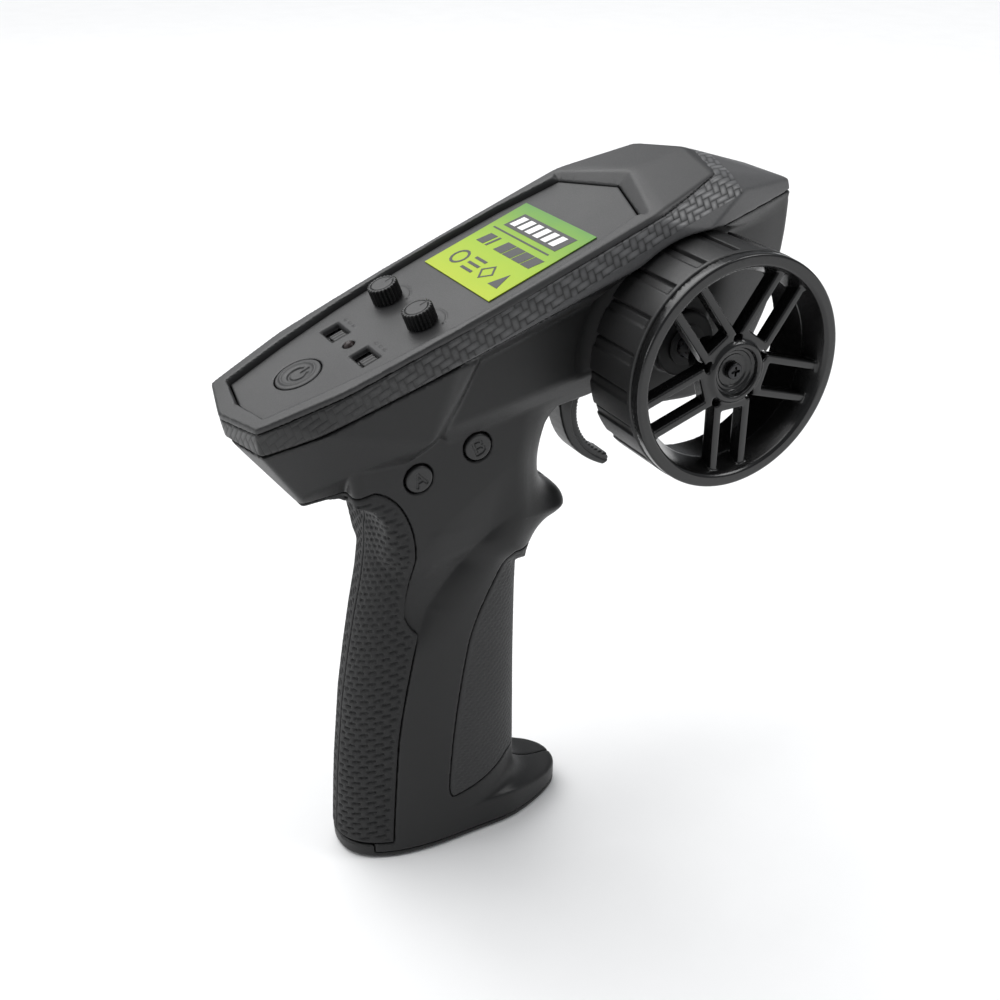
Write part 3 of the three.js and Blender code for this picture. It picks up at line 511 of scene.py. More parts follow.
# ---- materials
class Nodes:
    """A material's node tree, with short calls for the nodes used here."""

    def __init__(self, name, **shader):
        self.material = bpy.data.materials.new(name)
        self.material.use_nodes = True
        self.tree = self.material.node_tree
        self.shader = self.tree.nodes["Principled BSDF"]
        for socket, value in shader.items():
            label = socket.replace("_", " ").title().replace("Ior", "IOR")
            self.shader.inputs[label].default_value = value
        self.place = self.tree.nodes.new("ShaderNodeTexCoord").outputs["Object"]

    def put(self, value, socket):
        if isinstance(value, bpy.types.NodeSocket):
            self.tree.links.new(value, socket)
        else:
            socket.default_value = value

    def math(self, kind, a, b=0.0):
        node = self.tree.nodes.new("ShaderNodeMath")
        node.operation = kind
        self.put(a, node.inputs[0])
        self.put(b, node.inputs[1])
        return node.outputs[0]

    def times(self, a, b):
        return self.math("MULTIPLY", a, b)

    def plus(self, a, b):
        return self.math("ADD", a, b)

    def minus(self, a, b):
        return self.math("SUBTRACT", a, b)

    def noise(self, scale, detail):
        node = self.tree.nodes.new("ShaderNodeTexNoise")
        node.inputs["Scale"].default_value = scale
        node.inputs["Detail"].default_value = detail
        self.put(self.place, node.inputs["Vector"])
        return node.outputs["Fac"]

    def separate(self):
        node = self.tree.nodes.new("ShaderNodeSeparateXYZ")
        self.put(self.place, node.inputs[0])
        return node.outputs

    def between(self, value, low, high, out_low=0.0, out_high=1.0):
        """Maps low..high to out_low..out_high and stops at both ends."""
        node = self.tree.nodes.new("ShaderNodeMapRange")
        self.put(value, node.inputs[0])
        for i, number in enumerate((low, high, out_low, out_high)):
            node.inputs[i + 1].default_value = number
        return node.outputs[0]

    def colours(self, value, *stops):
        node = self.tree.nodes.new("ShaderNodeValToRGB")
        ramp_stops = node.color_ramp.elements
        while len(ramp_stops) < len(stops):
            ramp_stops.new(0.5)
        for element, (place, colour) in zip(ramp_stops, stops):
            element.position = place
            element.color = (*colour, 1)
        self.put(value, node.inputs[0])
        return node.outputs[0]

    def bump(self, height, distance, strength=1.0):
        node = self.tree.nodes.new("ShaderNodeBump")
        node.inputs["Distance"].default_value = distance
        node.inputs["Strength"].default_value = strength
        self.put(height, node.inputs["Height"])
        return node.outputs[0]

    def set(self, socket, value):
        self.put(value, self.shader.inputs[socket])


def grey(value, blue=1.02):
    return (value, value, value * blue)


def moulded(name, colour, roughness, grain=2600, depth=0.00002, spread=0.05, **shader):
    """Moulded plastic: an even spark-eroded grain, with slight patches in colour and gloss."""
    nodes = Nodes(name, **shader)
    patches = nodes.noise(45, 3)
    low = tuple(v * 0.88 for v in colour)
    high = tuple(v * 1.12 for v in colour)
    nodes.set("Base Color", nodes.colours(patches, (0.3, low), (0.7, high)))
    fine = nodes.noise(grain, 2)
    gloss = nodes.between(fine, 0.3, 0.7, roughness - spread, roughness + spread)
    nodes.set("Roughness", nodes.plus(nodes.between(patches, 0.3, 0.7, -spread, spread), gloss))
    nodes.set("Normal", nodes.bump(fine, depth))
    return nodes.material


def metal(name, colour, roughness):
    nodes = Nodes(name, metallic=1.0)
    brushed = nodes.noise(900, 4)
    nodes.set("Base Color", nodes.colours(brushed, (0.3, tuple(v * 0.8 for v in colour)), (0.7, colour)))
    nodes.set("Roughness", nodes.between(brushed, 0.3, 0.7, roughness - 0.06, roughness + 0.1))
    nodes.set("Normal", nodes.bump(brushed, 0.00001))
    return nodes.material


def thread_height(nodes, along, across):
    """Height of one thread that passes over two others: long along its run, one thread wide."""
    run = nodes.plus(along, nodes.math("FLOOR", across))
    arch = nodes.math("ABSOLUTE", nodes.math("SINE", nodes.times(run, math.pi / 2)))
    width = nodes.math("ABSOLUTE", nodes.math("SINE", nodes.times(across, math.pi)))
    return nodes.times(arch, width)


def woven_patch(nodes, across, s, h):
    """1 where the weave is moulded: over the ledge and behind the smooth nose."""
    foot = nodes.math("MINIMUM", nodes.between(s, -16 * MM, 51 * MM, -7.6 * MM, -5.4 * MM),
                      nodes.between(s, 51 * MM, 74 * MM, -5.4 * MM, -8.6 * MM))
    nose = nodes.math("LESS_THAN", nodes.plus(s, nodes.times(across, 0.29)), 79.5 * MM)
    return nodes.times(nodes.math("GREATER_THAN", h, foot), nose)


def woven(name):
    """Plastic moulded with a two by two twill, and plain beyond it. Painted light in its colour: thread
    crests painted lighter as painted highlight, the valleys between them darker as painted shade, the
    weft threads painted lighter, and the whole weave painted paler towards the front as a painted light
    gradient.
    """
    nodes = Nodes(name)
    x, y, z = nodes.separate()
    up, along = math.cos(PITCH), math.sin(PITCH)
    raised = nodes.minus(z, DECK_HEIGHT * MM)
    s = nodes.plus(nodes.times(y, up), nodes.times(raised, along))
    h = nodes.minus(nodes.times(raised, up), nodes.times(y, along))
    across = nodes.math("ABSOLUTE", x)
    skewed = nodes.plus(s, nodes.times(across, 0.5))
    u = nodes.math("DIVIDE", skewed, WEAVE_PITCH * MM)
    v = nodes.math("DIVIDE", nodes.minus(h, across), WEAVE_PITCH * MM)
    cell = nodes.plus(nodes.math("FLOOR", u), nodes.math("FLOOR", v))
    weft = nodes.math("LESS_THAN", nodes.math("FLOORED_MODULO", cell, 4), 1.5)
    mix = nodes.tree.nodes.new("ShaderNodeMix")
    nodes.put(weft, mix.inputs[0])
    nodes.put(thread_height(nodes, v, u), mix.inputs[2])
    nodes.put(thread_height(nodes, u, v), mix.inputs[3])
    patch = woven_patch(nodes, across, s, h)
    # painted highlight and shade: the thread's height also sets its colour, crests lighter and valleys
    # darker
    height = nodes.times(nodes.math("POWER", mix.outputs[0], 0.45), patch)
    # painted light: the weft threads are painted lighter than the warp
    weft_painted_light = nodes.times(nodes.times(weft, 0.1), patch)
    tone_and_painted_light = nodes.plus(nodes.times(height, 0.4), weft_painted_light)
    # painted light: the weave is painted dark at the rear and paler towards the front
    tone_and_painted_light = nodes.times(tone_and_painted_light, nodes.between(s, -45 * MM, 45 * MM, 0.12, 1.75))
    plain = nodes.times(nodes.minus(1.0, patch), 0.42)
    speckle = nodes.between(nodes.noise(1500, 2), 0.3, 0.7, -0.04, 0.04)
    tone_and_painted_light = nodes.plus(nodes.plus(tone_and_painted_light, plain), speckle)
    nodes.set("Base Color", nodes.colours(tone_and_painted_light, (0.05, grey(0.006)), (0.8, grey(0.13))))
    nodes.set("Roughness", nodes.between(height, 0, 1, 0.5, 0.34))
    nodes.set("Normal", nodes.bump(height, 0.00016, 0.9))
    return nodes.material


def printed_label(name):
    """Vinyl, yellow-green at the rear shading to green at the front."""
    nodes = Nodes(name, roughness=0.45, specular_ior_level=0.25)
    low, high = node_box("rating_label")
    _, y, _ = nodes.separate()
    place = nodes.between(y, low[1] * MM, high[1] * MM)
    blotch = nodes.plus(place, nodes.between(nodes.noise(60, 2), 0.3, 0.7, -0.06, 0.06))
    stops = [(0.0, (0.40, 0.50, 0.022)), (0.45, (0.30, 0.46, 0.024)), (0.75, (0.19, 0.36, 0.04)),
             (1.0, (0.11, 0.28, 0.06))]
    nodes.set("Base Color", nodes.colours(blotch, *stops))
    return nodes.material


LOOKS = {
    "casing": moulded("satin_black_casing", grey(0.011), 0.42, 2600, 0.000012, specular_ior_level=0.33),
    # cover and panel: a paler grey than the casing's black; part of the difference is painted light, the
    # light on the upward deck painted into their colour
    "charcoal": moulded("charcoal_cover_painted_light", grey(0.023), 0.44, 3200, 0.00002),
    "panel": moulded("charcoal_panel_painted_light", grey(0.027), 0.47, 3200, 0.000025),
    "weave": woven("moulded_weave_painted_light"),
    "soft_grip": moulded("soft_grip", grey(0.014), 0.62, 2400, 0.00005, specular_ior_level=0.35),
    "fine_grip": moulded("fine_soft_grip", grey(0.024), 0.6, 1500, 0.00012, specular_ior_level=0.4),
    "label": printed_label("label_vinyl"),
    "wheel_black": moulded("wheel_gloss_black", grey(0.006), 0.22, 1200, 0.000004, 0.03),
    "tread": moulded("tread_rubber", grey(0.010), 0.42, 2200, 0.00002),
    "knob_black": moulded("knob_black", grey(0.010), 0.36, 2400, 0.00001),
    "part_black": moulded("part_black", grey(0.012), 0.5, 2400, 0.00001),
    "steel": metal("plated_steel", (0.62, 0.62, 0.63), 0.3),
    "dark_steel": metal("blackened_steel", (0.05, 0.05, 0.052), 0.3),
    "brass": metal("brass_housing", (0.6, 0.45, 0.2), 0.35),
    "board": moulded("green_board", (0.012, 0.09, 0.035), 0.4, 1800, 0.00003),
    "lamp": moulded("dark_red_lens", (0.012, 0.003, 0.003), 0.4, 900, 0.000002, 0.02),
    "cell_wrap": moulded("blue_cell_wrap", (0.05, 0.12, 0.32), 0.25, 900, 0.000004, 0.03),
    "ink": moulded("black_ink", grey(0.008), 0.3, 1500, 0.000004, 0.03),
    "white_ink": moulded("white_ink", (0.82, 0.83, 0.82), 0.3, 1500, 0.000004, 0.03),
}


# ---- casing, band, cover and pads
def box_field(grid, low, high):
    sides = [np.maximum(a - axis, axis - b)
             for axis, a, b in zip((grid.x, grid.y, grid.z), low, high)]
    return np.maximum(np.maximum(sides[0], sides[1]), sides[2])


def cut_out(field, tool, softness=0.4):
    return smooth_max(field, -tool, softness)


def base_region(grid, gap):
    """The base plate and its heel band."""
    heel = np.maximum(grid.z - (5.0 + gap), grid.y + 34.7 - gap)
    return np.minimum(grid.z - (2.1 + gap), heel)


def screw_hole(grid, y, z, right):
    """Blind in the right half; through the left half, with room for the head."""
    reach = from_axis(grid, y, z)
    if right:
        return np.maximum(reach - 1.4, grid.x - 9.4)
    return np.minimum(reach - 1.4, np.maximum(reach - 2.9, 9 - grid.x))


def wheel_side_fittings(shell, grid):
    """Bearing post and hole of the steering shaft, and the holes of the side buttons."""
    reach = from_axis(grid, *WHEEL_AXIS)
    bearing = np.maximum(reach - 9, np.maximum(grid.x - 21.4, 12 - grid.x))
    shell = cut_out(smooth_min(shell, bearing, 0.5), reach - 4.6)
    for _, y, z in BUTTONS.values():
        hole = np.maximum(from_axis(grid, y, z) - (BUTTON_RADIUS + 0.35), 10 - grid.x)
        shell = cut_out(shell, hole)
    return shell


def casing_half(form, carved, grid, right):
    outside = with_wheel_room(carved, grid) if right else carved
    shell = np.maximum(outside, -(outside + WALL))
    for _, y, z in SCREWS:
        shell = np.minimum(shell, np.maximum(from_axis(grid, y, z) - 3.4, outside))
    if right:
        shell = wheel_side_fittings(shell, grid)
    for pad in (REAR_PAD, FRONT_PAD):
        region = outline_field(pad, grid.y, grid.z)
        shell = cut_out(shell, np.maximum(region - 0.12, -(form + PAD_DEPTH + 0.1)), 0.35)
    for _, y, z in SCREWS:
        shell = cut_out(shell, screw_hole(grid, y, z, right))
    shell = cut_out(shell, np.maximum(from_axis(grid, PIVOT[1], PIVOT[2]) - 2.1, grid.x - 9))
    slot = np.maximum(outline_field(TRIGGER_SLOT, grid.y, grid.z), grid.x - 5)
    shell = cut_out(shell, slot, 0.8)
    shell = cut_out(shell, box_field(grid, (-1, -24, -5), (12.3, 0.8, 53.6)))
    shell = cut_out(shell, base_region(grid, SPLIT), 0.3)
    shell = smooth_max(shell, above(grid, CASING_LINE) + SPLIT, 0.5)
    return smooth_max(shell, 0.06 - grid.x, 0.3)


def whole_width(left, right):
    return np.concatenate([left[:0:-1], right])


def whole_grid(grid):
    wide = Grid.__new__(Grid)
    wide.step = grid.step
    wide.axes = [np.concatenate([-grid.axes[0][:0:-1], grid.axes[0]]), grid.axes[1], grid.axes[2]]
    wide.lay_out()
    return wide


def band_half(form, grid, right):
    outside = with_wheel_room(form, grid) if right else form
    ring = np.maximum(outside, -(outside + WALL))
    seat = np.maximum(outline_field(PANEL, grid.x, grid.s) - 0.3, PANEL_UNDERSIDE - SPLIT - grid.h)
    ring = cut_out(ring, seat, 0.3)
    ring = smooth_max(ring, above(grid, COVER_LINE) + SPLIT, 0.4)
    return smooth_max(ring, -above(grid, CASING_LINE), 0.4)


def cover_field(form, grid):
    """The cover's opening has upright walls beside the panel and a slope up to the hood in front."""
    edge = outline_field(PANEL, grid.x, grid.s) - 0.3
    slope = 9 - 8.45 * ramp(grid.s, 41, 45)
    rise = (PANEL_TOP + 0.3 + slope * edge - grid.h) / np.sqrt(1 + slope * slope)
    opening = np.minimum(edge, rise)
    cover = smooth_max(form, -opening.astype(np.float32), 0.3)
    tuck = 0.9 * ramp(-edge, -3, -1)
    return smooth_max(cover, -(above(grid, COVER_LINE) + tuck), 0.3)


def mould_casing():
    grid = Grid((0, -71, -1), (29, 99.5, 194), 0.5)
    form = outer_form(grid)
    carved = with_hollow(form, grid)
    sculpted("shell_right", casing_half(form, carved, grid, True), grid, "casing", "root",
             ["right_casing"], 0.22)
    sculpted("shell_left", casing_half(form, carved, grid, False), grid, "casing", "root",
             ["left_casing"], 0.22, left=True)
    recess = box_field(grid, (-1, -30, 1.4), (9, 8, 8))
    sole = np.maximum(smooth_max(form, base_region(grid, 0), 0.3), -recess)
    part, place = grid.part((0, -50, -1), (20, 40, 8))
    wide = whole_grid(part)
    sole = sole[place]
    sculpted("sole", whole_width(sole, sole), wide, "casing", "battery_cover", ["battery_cover"], 0.25)


def mould_head():
    grid = Grid((0, -71, 138), (29, 99.5, 194), 0.42)
    form = outer_form(grid)
    wide = whole_grid(grid)
    band = whole_width(band_half(form, grid, False), band_half(form, grid, True))
    sculpted("weave_band", band, wide, "weave", "root", ["band_frame"], 0.25)
    cover = cover_field(form, grid)
    sculpted("deck_cover", whole_width(cover, cover), wide, "charcoal", "root", ["top_cover"], 0.3)


def dashes(grid, length, pitch, slant):
    """Short sunk dashes in staggered slanting rows round the grip: 1 in a dash, 0 outside it."""
    girth = np.arctan2(grid.x / 16, -(grid.y - GRIP_MIDDLE) / 22) * 20
    height = grid.z + girth * slant
    row = np.floor(height / pitch)
    across = height / pitch - row - 0.5
    along = girth / length + 0.5 * np.mod(row, 2)
    along = along - np.floor(along) - 0.5
    return ramp(-np.abs(along), -0.36, -0.24) * ramp(-np.abs(across), -0.30, -0.10)


def mould_pads():
    pads = [("rear", REAR_PAD, "soft_grip", 0.42, (3.7, 1.8, -0.3)),
            ("front", FRONT_PAD, "fine_grip", 0.16, (1.9, 1.05, 0.3))]
    for end, outline, look, depth, pattern in pads:
        low, high = node_box(end + "_grip_pad_right")
        grid = Grid((0, low[1] - 1.2, low[2] - 1.2), (high[0] + 1.2, high[1] + 1.2, high[2] + 1.2), 0.34)
        form = outer_form(grid)
        region = outline_field(outline, grid.y, grid.z)
        texture = depth * dashes(grid, *pattern) * ramp(-region, 1.0, 1.8) * ramp(grid.x, 0.9, 1.6)
        pad = smooth_max(form + texture, region + 0.12, 0.6)
        pad = np.maximum(pad, -(form + PAD_DEPTH))
        pad = smooth_max(pad, 0.1 - grid.x, 0.25).astype(np.float32)
        for side in ("right", "left"):
            sculpted("%s_pad_%s" % (end, side), pad, grid, look, "root",
                     ["%s_grip_pad_%s" % (end, side)], 0.5, left=side == "left")


# ---- deck controls
def disc(grid, x, s):
    return np.sqrt((grid.x - np.float32(x)) ** 2 + (grid.y - np.float32(s)) ** 2)


def mould_panel():
    """In the deck's frame: the grid's y is along the deck and its z is the height over it."""
    grid = Grid((-22.8, -63.6, -3.1), (22.8, 52, -0.1), 0.26)
    panel = smooth_max(outline_field(PANEL, grid.x, grid.y),
                       np.abs(grid.z - (PANEL_TOP + PANEL_UNDERSIDE) / 2) - 0.9, 0.5)
    for x, s, _ in KNOBS.values():
        turn = np.arctan2(grid.x - x, grid.y - s)
        arc = np.maximum(np.abs(disc(grid, x, s) - 6.1) - 0.22, np.abs(turn) - 0.75)
        panel = np.minimum(panel, np.maximum(arc, np.abs(grid.z - PANEL_TOP) - 0.16))
        for mark in (-0.95, 0.95):
            dot = disc(grid, x + 6.1 * math.sin(mark), s + 6.1 * math.cos(mark)) - 0.42
            panel = np.minimum(panel, np.maximum(dot, np.abs(grid.z - PANEL_TOP) - 0.16))
        panel = cut_out(panel, disc(grid, x, s) - 2.6)
    for x, s, _ in SWITCHES.values():
        half_length, half_width = SWITCH_WINDOW
        window = np.maximum(np.abs(grid.x - x) - half_length, np.abs(grid.y - s) - half_width)
        panel = cut_out(panel, window - 0.8 * np.maximum(grid.z - (PANEL_TOP - 0.6), 0), 0.2)
        for step in (-1, 0, 1):
            tick = np.maximum(np.abs(grid.x - x - 2.4 * step) - 0.7, np.abs(grid.y - s - 4.6) - 0.2)
            panel = np.minimum(panel, np.maximum(tick, np.abs(grid.z - PANEL_TOP) - 0.14))
    around = disc(grid, POWER_BUTTON[0], POWER_BUTTON[1])
    panel = cut_out(panel, around - (POWER_RADIUS + 0.3), 0.3)
    panel = cut_out(panel, disc(grid, LAMP[0], LAMP[1]) - (LAMP_RADIUS + 0.15), 0.3)
    sculpted("panel", panel, grid, "panel", "root", ["control_panel"], 0.35, deck=True)


def mould_power_button():
    x, s, _ = POWER_BUTTON
    grid = Grid((x - 8, s - 8, -4.4), (x + 8, s + 8, 0.1), 0.16)
    reach = disc(grid, x, s)
    ring = np.exp(-((reach - 4.55) / 0.42) ** 2)
    dish = 0.22 * np.maximum(1 - (reach / 4.2) ** 2, 0)
    top = PANEL_TOP + 0.12 + 0.3 * ring - dish
    turn = np.arctan2(grid.x - x, grid.y - s)
    arc = np.maximum(np.abs(reach - 2.5) - 0.36, 0.55 - np.abs(turn))
    bar = np.maximum(np.abs(grid.x - x) - 0.36, np.abs(grid.y - s - 2.0) - 1.3)
    symbol = np.minimum(arc, bar)
    top = top - 0.4 * ramp(-symbol, -0.12, 0.12)
    cap = smooth_max(reach - POWER_RADIUS, grid.z - top, 0.45)
    flange = np.maximum(reach - (POWER_RADIUS + 1.15), np.abs(grid.z - (PANEL_UNDERSIDE - 0.7)) - 0.38)
    button = np.maximum(np.minimum(cap, flange), PANEL_UNDERSIDE - 1.08 - grid.z)
    sculpted("power_cap", button, grid, "panel", "power_button", ["power_button"], 0.5, deck=True)


def mould_knobs():
    for side, (x, s, _) in KNOBS.items():
        grid = Grid((x - 4.6, s - 4.6, -4), (x + 4.6, s + 4.6, KNOB_TOP + 0.5), 0.13)
        reach = disc(grid, x, s)
        turn = np.arctan2(grid.x - x, grid.y - s)
        teeth = np.abs(np.mod(turn * KNOB_TEETH / (2 * math.pi), 1) * 2 - 1)
        knob = smooth_max(reach - (KNOB_RADIUS - 0.62 * teeth), grid.z - KNOB_TOP, 0.35)
        knob = np.maximum(knob, PANEL_TOP + 0.3 - grid.z)
        lip = np.abs(reach - 3.0) - 0.14
        pointer = np.maximum(np.abs(grid.x - x) - 0.28, np.abs(grid.y - s - 2.4) - 1.3)
        knob = cut_out(knob, np.maximum(np.minimum(lip, pointer), KNOB_TOP - 0.22 - grid.z), 0.15)
        stem = np.maximum(reach - 2.2, np.maximum(grid.z + 0.4, PANEL_UNDERSIDE - 0.9 - grid.z))
        knob = np.minimum(knob, stem)
        knob = np.maximum(knob, -np.maximum(reach - 1.3, grid.z - (PANEL_TOP + 1)))
        sculpted("knob_" + side, knob, grid, "knob_black", "trim_knob_" + side,
                 ["trim_knob_" + side], 0.5, deck=True)


def mould_switch_nubs():
    for side in ("left", "right"):
        node = "reverse_switch_nub_" + side
        x, s, _ = deck_centre(node)
        top = PANEL_TOP - 0.4
        grid = Grid((x - 2.4, s - 2.4, -5), (x + 2.4, s + 2.4, top + 0.5), 0.1)
        block = smooth_max(np.maximum(np.abs(grid.x - x) - 1.9, np.abs(grid.y - s) - 1.9),
                           grid.z - top + 0.3 * (0.5 - 0.5 * np.cos((grid.x - x) * 5)), 0.3)
        block = np.maximum(block, PANEL_UNDERSIDE - 0.2 - grid.z)
        tongue = np.maximum(np.maximum(np.abs(grid.x - x) - 1.3, np.abs(grid.y - s) - 0.9),
                            np.maximum(grid.z - PANEL_UNDERSIDE, PANEL_UNDERSIDE - 1.9 - grid.z))
        sculpted("nub_" + side, np.minimum(block, tongue), grid, "knob_black",
                 "reverse_switch_" + side, [node], 0.4, deck=True)


# ---- steering wheel
RIM_PROFILE = [(25, -7), (27.6, -0.6), (28.2, 0), (30.6, 0), (31, -0.4), (31, -3), (29.2, -3),
               (29.2, WHEEL_BACK - WHEEL_FACE), (27.8, WHEEL_BACK - WHEEL_FACE), (27.2, -9)]
HUB_PROFILE = [(3.3, -15), (3.3, -5), (1.4, -5), (1.4, -3.6), (4.2, -3.6), (4.6, -3.2), (5.3, -3.2),
               (5.6, -2.6), (6.2, -2.6), (6.6, -1.2), (7.7, -1.2), (8.5, -2.2), (8.5, -8), (5.4, -9),
               (5.4, -15)]
SPOKE_ROOT = [(7, -3), (9.2, -5.65), (11.6, -5.65), (10.4, -3), (10.4, 3), (11.6, 5.65), (9.2, 5.65),
              (7, 3)]


def wheel_grid(step, back, face):
    y, z = WHEEL_AXIS
    reach = WHEEL_RADIUS + 1
    return Grid((back - 1, y - reach, z - reach), (face + 1, y + reach, z + reach), step)


def mould_wheel():
    grid = wheel_grid(0.3, WHEEL_BACK, WHEEL_FACE)
    reach = from_axis(grid, *WHEEL_AXIS)
    behind = grid.x - WHEEL_FACE
    rim = outline_field(RIM_PROFILE, reach, behind)
    hub = outline_field(HUB_PROFILE, reach, behind)
    wheel = np.minimum(rim, hub)
    low = (WHEEL_FACE - 8, WHEEL_AXIS[0] - 30, WHEEL_AXIS[1] - 30)
    part, place = grid.part(low, (WHEEL_FACE, WHEEL_AXIS[0] + 30, WHEEL_AXIS[1] + 30))
    depth = np.abs(part.x - (WHEEL_FACE - 4.2)) - 2.2
    for pair in range(SPOKE_PAIRS):
        turn = -math.pi / 2 + pair * 2 * math.pi / SPOKE_PAIRS
        out = (part.y - WHEEL_AXIS[0]) * math.cos(turn) + (part.z - WHEEL_AXIS[1]) * math.sin(turn)
        across = (part.z - WHEEL_AXIS[1]) * math.cos(turn) - (part.y - WHEEL_AXIS[0]) * math.sin(turn)
        bar = np.maximum(np.abs(np.abs(across) - 4.5) - 1.15, np.maximum(8.4 - out, out - 26.9))
        root = outline_field(SPOKE_ROOT, out, across)
        spoke = smooth_max(np.minimum(bar, root), depth, 0.7)
        wheel[place] = smooth_min(wheel[place], spoke.astype(np.float32), 0.5)
    sculpted("wheel", wheel, grid, "wheel_black", "steering_wheel",
             ["steering_wheel_rim", "steering_wheel_spider"], 0.45)


def mould_tread():
    low, high = node_box("steering_wheel_tread")
    grid = wheel_grid(0.3, low[0], high[0])
    reach = from_axis(grid, *WHEEL_AXIS)
    turn = np.arctan2(grid.z - WHEEL_AXIS[1], grid.y - WHEEL_AXIS[0])
    share = np.mod((turn - math.pi / 2) * TREAD_BLOCKS / (2 * math.pi), 1)
    groove = ramp(share, 0.0, 0.02) * ramp(-share, -0.085, -0.06)
    strip = ramp(share, 0.03, 0.07) * ramp(-share, -0.33, -0.29)
    free = ramp(-grid.x, -(high[0] - 1.2), -(high[0] - 1.7))
    outer = (WHEEL_RADIUS + 0.2) - free * (1.0 * groove + 0.45 * np.maximum(strip - groove, 0))
    tread = smooth_max(reach - outer, np.maximum(low[0] - grid.x, grid.x - high[0]), 0.5)
    tread = np.maximum(tread, 29.5 - reach)
    sculpted("wheel_tread", tread, grid, "tread", "steering_wheel", ["steering_wheel_tread"], 0.4)


def mould_wheel_screw():
    y, z = WHEEL_AXIS
    low, high = node_box("steering_wheel_screw")
    top = high[0]
    grid = Grid((low[0] - 0.6, y - 2.8, z - 2.8), (top + 0.6, y + 2.8, z + 2.8), 0.11)
    reach = from_axis(grid, y, z)
    head = smooth_max(reach - 2.2, grid.x - top + 0.08 * reach ** 2 / 4, 0.5)
    head = np.maximum(head, top - 1.5 - grid.x)
    cross = np.minimum(np.maximum(np.abs(grid.y - y) - 0.3, np.abs(grid.z - z) - 1.3),
                       np.maximum(np.abs(grid.z - z) - 0.3, np.abs(grid.y - y) - 1.3))
    head = cut_out(head, np.maximum(cross, top - 0.8 - grid.x), 0.15)
    shank = np.maximum(reach - 1.1, np.maximum(low[0] - grid.x, grid.x - top + 1))
    sculpted("wheel_screw", np.minimum(head, shank), grid, "dark_steel", "steering_wheel",
             ["steering_wheel_screw"], 0.4)


# ---- trigger and side buttons
TRIGGER_FRONT = curved((45.4, 109.6), ((39.5, 113), (37, 117.4)), ((33.6, 123.5), (36.4, 131)),
                       (37.5, 137))
TRIGGER_OUTLINE = curved((29, 134), ((29.2, 119), (35, 112.8)), ((38.5, 109), (44, 106.3)),
                         ((47, 106.6), (45.4, 109.6))) + TRIGGER_FRONT[1:] + [(31, 139)]


def mould_trigger():
    low, high = node_box("trigger")
    grid = Grid(low - 0.8, high + 0.8, 0.2)
    side = outline_field(TRIGGER_OUTLINE, grid.y, grid.z)
    front = line_distance(TRIGGER_FRONT, grid.y, grid.z)
    free = ramp(-grid.z, -133, -130)
    ribs = 0.14 * (1 + np.cos(grid.z * 2 * math.pi / 1.0)) * ramp(-front, -1.2, -0.6) * free
    line = 0.35 * np.exp(-((front - 1.9) / 0.28) ** 2) * free
    blade = smooth_max(np.abs(grid.x) - (4.4 - line), side + ribs, 1.1)
    reach = from_axis(grid, PIVOT[1], PIVOT[2])
    hub = smooth_max(reach - 5, np.abs(grid.x) - 4.4, 0.6)
    lever = cut_out(smooth_min(blade, hub, 0.8), reach - 2.1, 0.3)
    sculpted("trigger_lever", lever, grid, "knob_black", "trigger", ["trigger"], 0.5)


LETTERS = {
    "a": [[(-1.15, -1.5), (0, 1.5), (1.15, -1.5)], [(-0.75, -0.5), (0.75, -0.5)]],
    "b": [[(-0.9, -1.5), (-0.9, 1.5), (0.35, 1.5), (0.9, 1.05), (0.9, 0.5), (0.35, 0.05), (-0.9, 0.05)],
          [(0.35, 0.05), (1.05, -0.4), (1.05, -1.05), (0.45, -1.5), (-0.9, -1.5)]],
}


def mould_side_buttons():
    for letter, (_, y, z) in BUTTONS.items():
        node = "button_" + letter
        low, high = node_box(node)
        grid = Grid((low[0] - 0.6, y - 5.3, z - 5.3), (high[0] + 0.6, y + 5.3, z + 5.3), 0.13)
        reach = from_axis(grid, y, z)
        across = (grid.y - y) * math.cos(PITCH) + (grid.z - z) * math.sin(PITCH)
        up = (grid.z - z) * math.cos(PITCH) - (grid.y - y) * math.sin(PITCH)
        stroke = np.min([line_distance(line, across / 1.2, up / 1.2) for line in LETTERS[letter]], axis=0)
        sunk = 0.32 * ramp(-stroke, -0.4, -0.2)
        cap = smooth_max(reach - BUTTON_RADIUS, grid.x - (high[0] - sunk), 0.7)
        flange = np.maximum(reach - (BUTTON_RADIUS + 1), grid.x - (low[0] + 1))
        button = np.maximum(np.minimum(cap, flange), low[0] - grid.x)
        sculpted("cap_" + letter, button, grid, "knob_black", node, [node], 0.5)


# ---- label print
def printed_shapes(name, outlines, height, look):
    """Flat inked shapes on the label, each an outline of deck points, as one thin mesh."""
    mesh = bmesh.new()
    for outline in outlines:
        lower = [mesh.verts.new(Vector(on_deck(x, s, height)) * MM) for x, s in outline]
        upper = [mesh.verts.new(Vector(on_deck(x, s, height + 0.05)) * MM) for x, s in outline]
        mesh.faces.new(upper)
        mesh.faces.new(lower[::-1])
        for i in range(len(outline)):
            j = (i + 1) % len(outline)
            mesh.faces.new((lower[i], lower[j], upper[j], upper[i]))
    bmesh.ops.recalc_face_normals(mesh, faces=mesh.faces)
    data = bpy.data.meshes.new(name)
    mesh.to_mesh(data)
    mesh.free()
    piece = bpy.data.objects.new(name, data)
    bpy.context.scene.collection.objects.link(piece)
    finish_piece(piece, look, "root")


def slanted(x, s, width, height, lean=0.25):
    shift = lean * height
    return [(x, s), (x + width, s), (x + width + shift, s + height), (x + shift, s + height)]


def ring_shape(x, s, radius, width, start, end, steps=14):
    turns = [start + (end - start) * i / steps for i in range(steps + 1)]
    outer = [(x + radius * math.cos(t), s + radius * math.sin(t)) for t in turns]
    inner = [(x + (radius - width) * math.cos(t), s + (radius - width) * math.sin(t)) for t in turns]
    return outer + inner[::-1]


